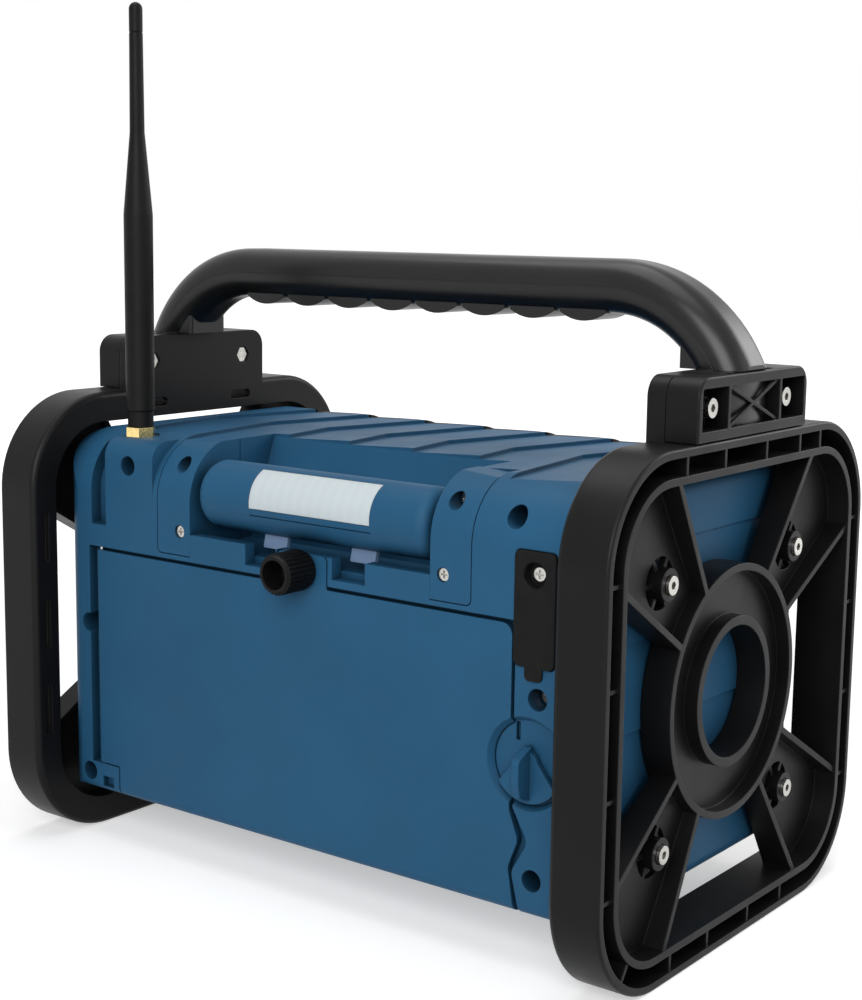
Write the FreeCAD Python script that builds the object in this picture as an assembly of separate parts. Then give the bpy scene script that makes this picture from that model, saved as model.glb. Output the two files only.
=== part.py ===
import FreeCAD, Part

import math
import os

# Jobsite radio with end guards, carrying handle, rear door and work lamp.
# Millimetres. Z is up and the radio stands on Z = 0. The rear with the door faces +Y,
# the loudspeakers face -Y, the antenna stands at the +X end. X = 0 and Y = 0 lie in the
# middle of the footprint.

Vector = FreeCAD.Vector

# End guards
HALF_WIDTH = 162.5
GUARD_DEPTH = 213.0
GUARD_HEIGHT = 208.0
GUARD_THICKNESS = 22.3
GUARD_CORNER = 42.6
GUARD_RING = 13.6
GUARD_RIM_WALL = 3.4
GUARD_INNER_WALL = 3.0
GUARD_WEB = 2.6
GUARD_INNER_EDGE = 2.6
GUARD_OUTER_EDGE = 1.2
CHANNEL_RIB = 1.6
CHANNEL_RIB_DROP = 1.2
SIDE_RIB_NEAR = 20.5
SIDE_RIB_FAR = 58.5
BAR_RIB_CENTRE = 3.2
BAR_RIB_NEAR = 17.3
BAR_RIB_FAR = 47.2
TOP_BAR_RIB = -63.0
CORNER_RIB_ANGLE = -54.0
SIDE_SLOT_PITCH = 40.5
SIDE_SLOT_HEIGHT = 22.5
SIDE_SLOT_WIDTH = 3.6
TOP_SLOT_OFFSET = 29.0
TOP_SLOT_LENGTH = 14.0
TOP_SLOT_HEIGHT = 4.0
NEARLY_ROUND = 0.98
HUB_RADIUS = 52.0
HUB_RIM = 3.0
HUB_DROP = 4.0
HUB_WEB = 2.5
HUB_WEB_DEPTH = 6.0
HUB_HOLE = 27.0
HUB_COLLAR = 3.8
ARM_FLOOR = 2.6
ARM_FLOOR_LIFT = 4.5
ARM_RIB = 2.6
ARM_RIB_LIFT = 2.6
ARM_RIB_RISE = 3.0
ARM_HUB_NEAR = 29.8
ARM_HUB_FAR = 50.0
ARM_HUB_WIDE = 45.0
ARM_HUB_LOW = 26.2
ARM_TOP_REACH = 55.4
ARM_SIDE_REACH = 55.1

# Guard screws
GUARD_SCREW_OFFSET = 52.8
GUARD_SCREW_DROP = 1.2
GUARD_SCREW_RADIUS = 2.0
GUARD_SCREW_HEAD = 3.7
GUARD_SCREW_HEAD_TALL = 4.0
GUARD_SCREW_GRIP = 10.0
SOCKET_RADIUS = 1.5
SOCKET_DEPTH = 2.2
COLLAR_RADIUS = 6.5
COLLAR_SUNK = 1.6
PETAL_RADIUS = 10.4
PETAL_SPOKE = 2.0
PETAL_SPOKES = 3

# Handle brackets and clamps
BRACKET_HALF_DEPTH = 45.5
BRACKET_RISE = 25.0
BRACKET_TOP = GUARD_HEIGHT + BRACKET_RISE
BRACKET_CORNER = 8.0
BRACKET_INNER_THICKNESS = 7.9
CLAMP_WALL = 2.8
CLAMP_FRAME = 4.2
CLAMP_DIVIDER = 21.5
CLAMP_DIVIDER_WALL = 1.8
CLAMP_FLOOR = 4.0
CLAMP_CROSS = 1.4
CLAMP_CROSS_DEPTH = 1.9
CLAMP_CROSS_OVERRUN = 1.02
CLAMP_BOLT_OFFSET = 31.0
CLAMP_BOLT_DROP = 12.2
CLAMP_BOLT_HEIGHT = BRACKET_TOP - CLAMP_BOLT_DROP
CLAMP_BOLT_RADIUS = 2.0
CLAMP_BOLT_HEAD = 3.8
CLAMP_BOLT_HEAD_TALL = 3.4
CLAMP_BOLT_SUNK = 2.0
CLAMP_BOSS_RADIUS = 4.2
NUT_FLATS = 7.0
NUT_TALL = 3.2
NUT_SUNK = 0.8

# Handle
HANDLE_RISE = 67.0
HANDLE_TOP = GUARD_HEIGHT + HANDLE_RISE
HANDLE_TALL = 22.0
HANDLE_DEPTH = 29.0
HANDLE_ROUND = 10.4
HANDLE_END_ROOM = 62.5
HANDLE_STRAIGHT = HALF_WIDTH - HANDLE_END_ROOM
HANDLE_BEND = 58.0
HANDLE_SWEEP = 66.0
HANDLE_WALL = 3.2
FOOT_SET_BACK = 28.5
FOOT_INNER = HALF_WIDTH - FOOT_SET_BACK
FOOT_DEPTH = 24.0
FOOT_ROUND = 2.0
TONGUE_HALF_DEPTH = 19.6
TONGUE_INNER_SKIN = 2.6
TONGUE_SET_BACK = 2.2
TONGUE_OUTER = HALF_WIDTH - TONGUE_SET_BACK
TONGUE_ROUND = 60.0
TONGUE_BOTTOM_GAP = 0.3
FINGER_COUNT = 8
FINGER_PITCH = 2 * HANDLE_STRAIGHT / FINGER_COUNT
FINGER_SPACE = 3.0
FINGER_WIDTH = FINGER_PITCH - FINGER_SPACE
FINGER_DROP = 3.4
FINGER_DEPTH = 19.0

# Housing shells
HOUSING_SET_BACK = 17.0
HOUSING_HALF_WIDTH = HALF_WIDTH - HOUSING_SET_BACK
HOUSING_REAR = 82.0
HOUSING_FRONT = -80.0
HOUSING_BOTTOM = 23.4
HOUSING_DROP = 15.7
HOUSING_TOP = GUARD_HEIGHT - HOUSING_DROP
HOUSING_WALL = 3.2
REAR_TOP_ROUND = 27.0
FRONT_TOP_ROUND = 20.0
BOTTOM_ROUND = 4.0
EDGE_ROUND = 8.0
SEAM_Y = -62.0
SEAL_THICKNESS = 1.2
SEAL_SET_BACK = 1.0
THICK_WALL = 6.4
STEP_PITCH = 35.5
STEP_FIRST = 97.0
STEP_COUNT = 8
STEP_DROP = 1.7
STEP_APEX_Y = -5.0
STEP_REAR_SLOPE = 0.155
STEP_FRONT_SLOPE = 0.25
LAP_DROP = 23.8
LAP_FIRST = HOUSING_TOP - LAP_DROP
LAP_COUNT = 5
LAP_DEPTH = 1.0

# Cross recesses, as shares of the head's radius and height
CROSS_ARM = 0.62
CROSS_SLIT = 0.13
CROSS_FLOOR = 0.35

# Housing screws, as X and Z
SCREW_POST = 5.6
SCREW_RECESS = 4.4
SCREW_RADIUS = 2.0
SCREW_HEAD = 3.6
SCREW_HEAD_TALL = 2.6
SCREW_HEAD_Y = -20.0
SCREW_END_Y = -74.0
TOP_SCREW_INSET = 40.9
TOP_SCREW_X = HOUSING_HALF_WIDTH - TOP_SCREW_INSET
TOP_SCREW_DROP = 13.5
TOP_SCREW_Z = HOUSING_TOP - TOP_SCREW_DROP
LEFT_LOW_INSET = 13.0
LEFT_LOW_RISE = 8.4
LEFT_MID_INSET = 13.9
LEFT_MID_DROP = 89.0
RIGHT_MID_INSET = 27.5
RIGHT_MID_DROP = 81.9
RIGHT_LOW_INSET = 28.5
RIGHT_LOW_RISE = 14.8
BRACKET_SCREW_HEAD_Y = 71.0
BRACKET_Y = 66.0
BRACKET_TAB = 3.0
BRACKET_TAB_HALF = 5.0

# Lamp bay, cheeks and lamp
BAY_INSET = 79.5
BAY_HALF_WIDTH = HOUSING_HALF_WIDTH - BAY_INSET
BAY_BACK_TOP_Y = 27.0
BAY_BACK_FOOT_Y = 43.0
BAY_FLOOR_DROP = 46.3
BAY_FLOOR = HOUSING_TOP - BAY_FLOOR_DROP
LEDGE_TOP_DROP = 40.3
LEDGE_TOP = HOUSING_TOP - LEDGE_TOP_DROP
LEDGE_THICKNESS = 6.0
NOTCH_BOTTOM_DROP = 49.3
NOTCH_BOTTOM = HOUSING_TOP - NOTCH_BOTTOM_DROP
NOTCH_WIDTH = 17.5
TAB_OFFSET = 24.2
CHEEK_WIDTH = 19.8
CHEEK_CORNER = 2.3
CHEEK_BOTTOM_DROP = 50.0
CHEEK_BOTTOM = HOUSING_TOP - CHEEK_BOTTOM_DROP
CHEEK_BACK_Y = 50.0
CHEEK_GAP = 0.4
CHEEK_HOLLOW_RISE = 2.0
CHEEK_SCREW_DROP = 39.6
CHEEK_SCREW_Z = HOUSING_TOP - CHEEK_SCREW_DROP
CHEEK_SCREW_OFFSET = 6.3
CHEEK_SCREW_X = BAY_HALF_WIDTH + CHEEK_SCREW_OFFSET
CHEEK_HOLE_DROP = 10.7
CHEEK_HOLE_Z = HOUSING_TOP - CHEEK_HOLE_DROP
CHEEK_HOLE_OFFSET = 8.6
CHEEK_HOLE_X = BAY_HALF_WIDTH + CHEEK_HOLE_OFFSET
CHEEK_HOLE_RADIUS = 3.5
CHEEK_SCREW_RADIUS = 1.3
CHEEK_SCREW_HEAD = 2.6
CHEEK_SCREW_HEAD_TALL = 1.8
CHEEK_SCREW_SUNK = 0.9
CHEEK_SCREW_BITE = 5.0
CHEEK_HOLE_DEPTH = 14.0
LAMP_Y = 67.0
LAMP_DROP = 22.8
LAMP_Z = HOUSING_TOP - LAMP_DROP
LAMP_RADIUS = 15.0
LAMP_WALL = 2.2
LAMP_END_GAP = 3.0
LAMP_END_ROUND = 6.0
LAMP_AIM = 30.5
LAMP_WINDOW_SPREAD = 76.0
LAMP_WINDOW_CENTRE = -2.0
LAMP_WINDOW_LENGTH = 66.0
LAMP_WINDOW_GAP = 0.15
LAMP_PIN_RADIUS = 4.0
LAMP_PIN_LENGTH = 7.0
LAMP_FLOOR_OFFSET = 3.0
LAMP_FLOOR = 1.8
LAMP_SEAM_ANGLE = -19.0
LAMP_SEAM = 0.5
LED_BOARD = 1.2
LED_BOARD_WIDTH = 16.0
LED_COUNT = 12
LED_SIZE = 2.8
LED_TALL = 0.8
TAB_ANGLE = -76.0
TAB_WIDTH = 13.0
TAB_REACH = 5.6
TAB_THICKNESS = 2.0
TAB_ROOT = 1.6

# Rear door
DOOR_TOP_DROP = 54.1
DOOR_TOP = HOUSING_TOP - DOOR_TOP_DROP
DOOR_LEFT_INSET = 19.1
DOOR_LEFT = HOUSING_HALF_WIDTH - DOOR_LEFT_INSET
DOOR_RIGHT_INSET = 39.7
DOOR_RIGHT = DOOR_RIGHT_INSET - HOUSING_HALF_WIDTH
DOOR_STEP_INSET = 33.0
DOOR_STEP_X = HOUSING_HALF_WIDTH - DOOR_STEP_INSET
DOOR_STEP_RISE = 14.1
DOOR_STEP_Z = HOUSING_BOTTOM + DOOR_STEP_RISE
DOOR_THICKNESS = 3.0
DOOR_GAP = 0.6
DOOR_SIDE_GAP = 1.6
DOOR_WAVE_GAP = 4.6
DOOR_WAVE_SPREAD = 1.5
DOOR_FOOT_GAP = 2.6
DOOR_SEAT_GAP = 0.6
DOOR_HINGE_GAP = 4.4
DOOR_TAB_LEFT = 14.5
DOOR_TAB_RIGHT = -12.5
DOOR_TAB_TOP_DROP = 40.3
DOOR_TAB_TOP = HOUSING_TOP - DOOR_TAB_TOP_DROP
DOOR_CORNER = 5.0
DOOR_WAVE_INSET = 35.2
DOOR_WAVE_X = DOOR_WAVE_INSET - HOUSING_HALF_WIDTH
DOOR_WAVE_TOP_RISE = 41.1
DOOR_WAVE_TOP = HOUSING_BOTTOM + DOOR_WAVE_TOP_RISE
DOOR_WAVE_MIDDLE_RISE = 29.6
DOOR_WAVE_MIDDLE = HOUSING_BOTTOM + DOOR_WAVE_MIDDLE_RISE
DOOR_WAVE_BOTTOM_RISE = 18.1
DOOR_WAVE_BOTTOM = HOUSING_BOTTOM + DOOR_WAVE_BOTTOM_RISE
DOOR_FOOT_INSET = 36.7
DOOR_FOOT_X = DOOR_FOOT_INSET - HOUSING_HALF_WIDTH
DOOR_SEAL_TALL = 1.3
DOOR_SEAL_WIDTH = 2.4
DOOR_SEAL_GAP = 0.3


HINGE_RADIUS = 2.0
HINGE_PIN_RADIUS = 0.9
HINGE_PIN_DEPTH = 6.0
HINGE_PIN_REACH = 4.5





HINGE_TRENCH_GAP = 0.8

# Thumb screw on the door tab
THUMB_X = 1.0
THUMB_DROP = 46.9
THUMB_Z = HOUSING_TOP - THUMB_DROP
THUMB_RADIUS = 8.8
THUMB_FLUTE = 0.7
THUMB_FLUTES = 28
THUMB_LENGTH = 17.0
THUMB_BASE = 1.6
THUMB_LIP = 1.2
THUMB_BORE = 6.2
THUMB_BORE_DEPTH = 12.0
THUMB_SHANK = 2.0
THUMB_REACH = 9.5
THUMB_CLIP_RADIUS = 3.8
THUMB_CLIP = 0.8
THUMB_CLIP_ROOM = 1.0
INSERT_RADIUS = 3.6
INSERT_BORE = 2.6
INSERT_LENGTH = 6.0
INSERT_BOSS_WALL = 2.4

# Wing latch
LATCH_INSET = 32.0
LATCH_X = LATCH_INSET - HOUSING_HALF_WIDTH
LATCH_DROP = 108.0
LATCH_Z = HOUSING_TOP - LATCH_DROP
LATCH_DISH = 16.2
LATCH_RADIUS = 15.7
LATCH_PLATE = 2.5
LATCH_SHOULDER_X = 12.8
LATCH_SHOULDER_DROP = 8.7
LATCH_POINT = 7.0
LATCH_FIN = 3.4
LATCH_FIN_TALL = 8.0
LATCH_FIN_FOOT = 1.0
LATCH_FIN_RISE = 3.0
LATCH_FIN_CREST = 8.0
LATCH_FIN_FALL = 4.0
LATCH_FIN_STEP = 1.5
LATCH_FIN_ROUND = 3.0
LATCH_HUB_WALL = 2.0
LATCH_SHAFT = 3.0
LATCH_SHAFT_LENGTH = 9.5
LATCH_CLIP_RADIUS = 5.0
LATCH_CLIP = 0.8
DISH_DEPTH = 3.0
DISH_FOOT = 0.4
DISH_FLARE = 2.0
DISH_SLIT_X = 4.9
DISH_SLIT = 1.9
DISH_SLIT_DEPTH = 1.8
DISH_SLIT_MARGIN = 1.0

# Rubber port cover and sockets
COVER_LEFT_INSET = 38.7
COVER_LEFT = COVER_LEFT_INSET - HOUSING_HALF_WIDTH
COVER_RIGHT_INSET = 19.9
COVER_RIGHT = COVER_RIGHT_INSET - HOUSING_HALF_WIDTH
COVER_TOP_DROP = 24.8
COVER_TOP = HOUSING_TOP - COVER_TOP_DROP
COVER_BOTTOM_DROP = 69.6
COVER_BOTTOM = HOUSING_TOP - COVER_BOTTOM_DROP
COVER_HINGE_DROP = 41.3
COVER_HINGE_Z = HOUSING_TOP - COVER_HINGE_DROP
COVER_THICKNESS = 2.2
COVER_SUNK = 1.0
COVER_CORNER = 2.5
COVER_PULL_WIDTH = 8.0
COVER_PULL_BOTTOM_DROP = 74.8
COVER_PULL_BOTTOM = HOUSING_TOP - COVER_PULL_BOTTOM_DROP
COVER_SPLIT = 0.4
COVER_SCREW_DROP = 33.9
COVER_SCREW_Z = HOUSING_TOP - COVER_SCREW_DROP
COVER_SCREW_RADIUS = 1.25
COVER_SCREW_HEAD = 2.7
COVER_SCREW_HEAD_TALL = 1.2
COVER_SCREW_LENGTH = 8.0
COVER_SCREW_SUNK = 3.5
COVER_RECESS_RADIUS = 5.0
COVER_CUP_WALL = 1.2
COVER_CUP_FLOOR = 1.0
COVER_PLUG_DEPTH = 1.4
PORT_WINDOW_HALF = 5.6
PORT_WINDOW_BOTTOM_DROP = 66.3
PORT_WINDOW_BOTTOM = HOUSING_TOP - PORT_WINDOW_BOTTOM_DROP
PORT_WINDOW_TOP_DROP = 43.3
PORT_WINDOW_TOP = HOUSING_TOP - PORT_WINDOW_TOP_DROP
PORT_BLOCK_DEPTH = 16.0
PORT_BLOCK_WALL = 2.0
POWER_SOCKET_RADIUS = 3.2
POWER_SOCKET_PIN = 1.0
POWER_SOCKET_DEPTH = 9.0
AUDIO_SOCKET_RADIUS = 1.8
AUDIO_SOCKET_DEPTH = 12.0
SERVICE_SOCKET_HALF = 4.0
SERVICE_SOCKET_TALL = 2.8
SERVICE_SOCKET_DEPTH = 6.0

# Antenna, its hump and the tall groove beside it
ANTENNA_INSET = 35.0
ANTENNA_X = HOUSING_HALF_WIDTH - ANTENNA_INSET
ANTENNA_Y = 68.0
HUMP_LEFT_INSET = 26.1
HUMP_LEFT = HOUSING_HALF_WIDTH - HUMP_LEFT_INSET
HUMP_RIGHT_INSET = 56.5
HUMP_RIGHT = HOUSING_HALF_WIDTH - HUMP_RIGHT_INSET
HUMP_ROUND = 9.0
HUMP_TOP_DROP = 1.7
HUMP_TOP = HOUSING_TOP - HUMP_TOP_DROP
HUMP_REACH = 20.0
HUMP_FOOT = 30.0
ANTENNA_NUT_FLATS = 12.0
ANTENNA_NUT_TURN = 8.0
ANTENNA_BOSS_RADIUS = 8.0
ANTENNA_PAD = 8.5
ANTENNA_NUT_TALL = 4.3
ANTENNA_BUSH_RADIUS = 3.4
ANTENNA_BUSH_LENGTH = 12.0
ANTENNA_SHANK = 2.3
ANTENNA_SHANK_LENGTH = 7.0
ANTENNA_RADIUS = 6.5
ANTENNA_NECK = 5.8
ANTENNA_NECK_TOP_RISE = 11.4
ANTENNA_NECK_TOP = HUMP_TOP + ANTENNA_NECK_TOP_RISE
ANTENNA_TAPER_START_RISE = 99.4
ANTENNA_TAPER_START = HUMP_TOP + ANTENNA_TAPER_START_RISE
ANTENNA_TAPER_END_RISE = 135.4
ANTENNA_TAPER_END = HUMP_TOP + ANTENNA_TAPER_END_RISE
ANTENNA_TIP_RADIUS = 3.0
ANTENNA_CAP_LINE_RISE = 178.4
ANTENNA_CAP_LINE = HUMP_TOP + ANTENNA_CAP_LINE_RISE
ANTENNA_CAP_GROOVE = 0.3
ANTENNA_TOP_RISE = 191.4
ANTENNA_TOP = HUMP_TOP + ANTENNA_TOP_RISE
GROOVE_LEFT_INSET = 16.6
GROOVE_LEFT = HOUSING_HALF_WIDTH - GROOVE_LEFT_INSET
GROOVE_BOTTOM_DROP = 42.3
GROOVE_BOTTOM = HOUSING_TOP - GROOVE_BOTTOM_DROP
GROOVE_TOP_DROP = 5.3
GROOVE_TOP = HOUSING_TOP - GROOVE_TOP_DROP
GROOVE_DEPTH = 6.0
LOW_RECESS_INSET = 25.2
LOW_RECESS_X = HOUSING_HALF_WIDTH - LOW_RECESS_INSET
LOW_RECESS_RISE = 5.1
LOW_RECESS_Z = HOUSING_BOTTOM + LOW_RECESS_RISE
LOW_RECESS_SIZE = 7.0
LOW_RECESS_TALL = 4.9
LOW_RECESS_DEPTH = 3.0

# Battery bay
CELL_RADIUS = 16.1
CELL_COLUMNS = 3
CELL_ROWS = 2
CELL_PITCH_Z = 36.0
CELL_Y = 58.0
CELL_CAP_RADIUS = 4.8
CELL_CAP_TALL = 0.45
BATTERY_WALL = 2.0
BATTERY_INSET = 49.0
BATTERY_HALF_WIDTH = HOUSING_HALF_WIDTH - BATTERY_INSET
CELL_END_ROOM = 10.0
CELL_SPACE = 0.5
CELL_PITCH_X = (2 * BATTERY_HALF_WIDTH - CELL_END_ROOM) / CELL_COLUMNS
CELL_LENGTH = CELL_PITCH_X - CELL_SPACE
BATTERY_RAISE = 3.2
BATTERY_CENTRE_Z = (HOUSING_BOTTOM + DOOR_TOP) / 2 + BATTERY_RAISE
BATTERY_HALF_HEIGHT = 37.0
BATTERY_FLOOR_Y = 37.0
BATTERY_CORNER = 4.0
BATTERY_FLANGE = 5.0
CRADLE_WALL = 2.0
CRADLE_GAP = 0.3
CRADLE_TALL = 11.0
CONTACT_THICKNESS = 0.8
CONTACT_HEIGHT = 22.0

# Front: loudspeakers, panel, display, buttons and knobs
SPEAKER_INNER = 45.0
SPEAKER_END_ROOM = 20.5
GRILLE_RADIUS = (HOUSING_HALF_WIDTH - SPEAKER_END_ROOM - SPEAKER_INNER) / 2
SPEAKER_X = SPEAKER_INNER + GRILLE_RADIUS
SPEAKER_DROP = 3.85
SPEAKER_Z = (HOUSING_BOTTOM + HOUSING_TOP) / 2 - SPEAKER_DROP
SPEAKER_RIM = 5.5
SPEAKER_OPENING = GRILLE_RADIUS - SPEAKER_RIM
GRILLE_THICKNESS = 3.0
GRILLE_SLOT = 3.4
GRILLE_BAR = 3.0
GRILLE_RIM = 3.0
BASKET_LIP = 0.6
BASKET_FLANGE = GRILLE_RADIUS + BASKET_LIP
BASKET_FLANGE_THICKNESS = 3.0
BASKET_DEPTH = 26.0
BASKET_NARROWING = 19.0
BASKET_BACK = GRILLE_RADIUS - BASKET_NARROWING
BASKET_WALL = 1.6
BASKET_SHOULDER = 7.0
BASKET_MOUTH = GRILLE_RADIUS - BASKET_SHOULDER
MAGNET_SET_BACK = 16.0
MAGNET_RADIUS = GRILLE_RADIUS - MAGNET_SET_BACK
MAGNET_TALL = 13.0
CONE_SET_BACK = 8.5
CONE_RADIUS = GRILLE_RADIUS - CONE_SET_BACK
CONE_THROAT = 12.0
CONE_DEPTH = 14.0
CONE_WALL = 1.0
SPEAKER_SCREW_INSET = 2.1
SPEAKER_SCREW_CIRCLE = GRILLE_RADIUS - SPEAKER_SCREW_INSET
SPEAKER_SCREW_RADIUS = 1.2
SPEAKER_SCREW_HEAD = 2.3
SPEAKER_SCREW_HEAD_TALL = 1.6
PANEL_HALF_WIDTH = 41.0
PANEL_BOTTOM_RISE = 16.6
PANEL_BOTTOM = HOUSING_BOTTOM + PANEL_BOTTOM_RISE
PANEL_TOP_DROP = 20.3
PANEL_TOP = HOUSING_TOP - PANEL_TOP_DROP
PANEL_THICKNESS = 2.0
PANEL_CORNER = 6.0
DISPLAY_HALF_WIDTH = 33.0
DISPLAY_BOTTOM_DROP = 64.3
DISPLAY_BOTTOM = HOUSING_TOP - DISPLAY_BOTTOM_DROP
DISPLAY_TOP_DROP = 28.3
DISPLAY_TOP = HOUSING_TOP - DISPLAY_TOP_DROP
DISPLAY_CORNER = 3.0
WINDOW_THICKNESS = 1.6
WINDOW_LIP = 2.0
DISPLAY_MODULE_THICKNESS = 6.0
DISPLAY_MODULE_MARGIN = 1.0
DISPLAY_LEG = 1.5
DISPLAY_LEG_INSET = 3.0
BUTTON_COUNT = 5
BUTTON_PITCH = 14.5
BUTTON_WIDTH = 11.0
BUTTON_HEIGHT = 7.0
BUTTON_CORNER = 2.0
BUTTON_PROUD = 2.2
BUTTON_GAP = 0.3
BUTTON_TRAVEL = 1.2
BUTTON_FLANGE = 1.2
BUTTON_FLANGE_THICKNESS = 1.2
BUTTON_PLUNGER = 2.0
SWITCH_SIZE = 6.0
SWITCH_TALL = 3.5
KNOB_X = 20.5
KNOB_RISE = 32.0
KNOB_Z = PANEL_BOTTOM + KNOB_RISE
KNOB_RADIUS = 15.0
BUTTON_Z = (DISPLAY_BOTTOM + KNOB_Z + KNOB_RADIUS) / 2
KNOB_TALL = 14.0
KNOB_FLUTE = 0.8
KNOB_FLUTES = 36
KNOB_SKIRT = 2.0
KNOB_BEVEL = 1.0
KNOB_MARK = 1.2
KNOB_MARK_DEPTH = 0.6
KNOB_MARK_START = 4.0
KNOB_CAP = 4.0
SHAFT_RADIUS = 3.0
SHAFT_FIT = 0.06
ENCODER_SIZE = 12.0
ENCODER_BUSH = 4.5
ENCODER_TALL = 6.0
ENCODER_FLOOR = 2.0
MAIN_BOARD_Y = -64.0
BOARD_THICKNESS = 1.6
BOARD_HALF_WIDTH = 38.0
BOARD_BOTTOM_RISE = 4.0
BOARD_BOTTOM = PANEL_BOTTOM + BOARD_BOTTOM_RISE
BOARD_TOP_DROP = 4.0
BOARD_TOP = PANEL_TOP - BOARD_TOP_DROP
BOARD_POST = 3.0
BOARD_CHIP = 14.0
BOARD_CHIP_TALL = 2.0
BOARD_CHIP_SPREAD = 16.0
BOARD_CHIP_RISE = 26.0
BOARD_CHIP_DROP = 22.0

# General clearances
GAP = 0.3
SCREW_FIT = 0.06
CLEARANCE_HOLE = 0.25
ROUND_EDGE = 0.8
OVERLAP = 1.0
FAR = 400.0
GUARD_INNER = HALF_WIDTH - GUARD_THICKNESS
GUARD_CENTRE = GUARD_HEIGHT / 2
HUB_TOP = HALF_WIDTH - HUB_DROP
ARM_FLOOR_START = HOUSING_HALF_WIDTH + ARM_FLOOR_LIFT
ARM_FLOOR_END = ARM_FLOOR_START + ARM_FLOOR
BRACKET_SEAM = GUARD_INNER + BRACKET_INNER_THICKNESS
CLAMP_INNER = BRACKET_SEAM + GAP
CLAMP_BOTTOM = GUARD_HEIGHT + GAP
CLAMP_FLOOR_X = CLAMP_INNER + CLAMP_FLOOR
CLAMP_BOLT_SEAT = HALF_WIDTH - CLAMP_BOLT_SUNK - CLAMP_BOLT_HEAD_TALL
FOOT_BOTTOM = BRACKET_TOP + GAP
DOOR_INNER = HOUSING_REAR - DOOR_THICKNESS
DOOR_SEAT = DOOR_INNER - DOOR_SEAT_GAP
THICK_INNER = HOUSING_REAR - THICK_WALL
HINGE_X = DOOR_LEFT - HINGE_RADIUS
HINGE_Y = HOUSING_REAR - HINGE_RADIUS
CHEEK_OUTER = BAY_HALF_WIDTH + CHEEK_WIDTH
LAMP_HALF = BAY_HALF_WIDTH - LAMP_END_GAP
DISH_FLOOR = HOUSING_REAR - DISH_DEPTH
COVER_FACE = HOUSING_REAR - COVER_SUNK + COVER_THICKNESS
COVER_CUP_RADIUS = COVER_RECESS_RADIUS + COVER_CUP_WALL
ANTENNA_NUT_TOP = HUMP_TOP + ANTENNA_NUT_TALL
FRONT_INNER = HOUSING_FRONT + HOUSING_WALL
SEAL_Y = SEAM_Y - SEAL_THICKNESS
PANEL_FACE = HOUSING_FRONT - PANEL_THICKNESS
BUTTON_XS = [BUTTON_PITCH * (i - (BUTTON_COUNT - 1) / 2) for i in range(BUTTON_COUNT)]
KNOB_XS = (-KNOB_X, KNOB_X)
SPEAKER_XS = (-SPEAKER_X, SPEAKER_X)
LEFT_LOW_SCREW = (HOUSING_HALF_WIDTH - LEFT_LOW_INSET, HOUSING_BOTTOM + LEFT_LOW_RISE)
LEFT_MID_SCREW = (HOUSING_HALF_WIDTH - LEFT_MID_INSET, HOUSING_TOP - LEFT_MID_DROP)
RIGHT_MID_SCREW = (RIGHT_MID_INSET - HOUSING_HALF_WIDTH, HOUSING_TOP - RIGHT_MID_DROP)
RIGHT_LOW_SCREW = (RIGHT_LOW_INSET - HOUSING_HALF_WIDTH, HOUSING_BOTTOM + RIGHT_LOW_RISE)
HOUSING_SCREWS = [
    (TOP_SCREW_X, TOP_SCREW_Z),
    (-TOP_SCREW_X, TOP_SCREW_Z),
    LEFT_LOW_SCREW,
    LEFT_MID_SCREW,
    RIGHT_LOW_SCREW,
]
GUARD_SCREWS = [
    (side_y * GUARD_SCREW_OFFSET, GUARD_CENTRE - GUARD_SCREW_DROP + side_z * GUARD_SCREW_OFFSET)
    for side_y in (-1, 1)
    for side_z in (-1, 1)
]

DIRECTION = {"x": Vector(1, 0, 0), "y": Vector(0, 1, 0), "z": Vector(0, 0, 1)}


def place(axis, along, a, b):
    """Point from its coordinate along an axis and its two others in x, y, z order."""
    if axis == "x":
        return Vector(along, a, b)
    if axis == "y":
        return Vector(a, along, b)
    return Vector(a, b, along)


def block(x0, x1, y0, y1, z0, z1):
    """Box between two planes on each axis, in either order."""
    corner = Vector(min(x0, x1), min(y0, y1), min(z0, z1))
    return Part.makeBox(abs(x1 - x0), abs(y1 - y0), abs(z1 - z0), corner)


def rod(axis, centre, start, end, radius):
    """Solid cylinder between two coordinates on an axis."""
    low = min(start, end)
    return Part.makeCylinder(radius, abs(end - start), place(axis, low, *centre), DIRECTION[axis])


def tube(axis, centre, start, end, outer, inner):
    """Hollow cylinder between two coordinates on an axis."""
    return rod(axis, centre, start, end, outer).cut(rod(axis, centre, start, end, inner))


def cone(axis, centre, start, end, radius_start, radius_end):
    """Truncated cone along an axis, with start below end."""
    foot = place(axis, start, *centre)
    return Part.makeCone(radius_start, radius_end, end - start, foot, DIRECTION[axis])


def prism(axis, points, start, end):
    """Straight-sided outline extruded between two coordinates on an axis."""
    corners = [place(axis, start, *point) for point in points]
    face = Part.Face(Part.makePolygon(corners + corners[:1]))
    return face.extrude(DIRECTION[axis] * (end - start))


def rounded_corner(before, here, after, radius):
    """Start, middle and end of the arc that rounds one corner."""
    back = (before - here).normalize()
    ahead = (after - here).normalize()
    half = back.getAngle(ahead) / 2
    reach = radius / math.tan(half)
    inward = (back + ahead).normalize()
    middle = here + inward * (radius / math.sin(half) - radius)
    return here + back * reach, middle, here + ahead * reach


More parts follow.
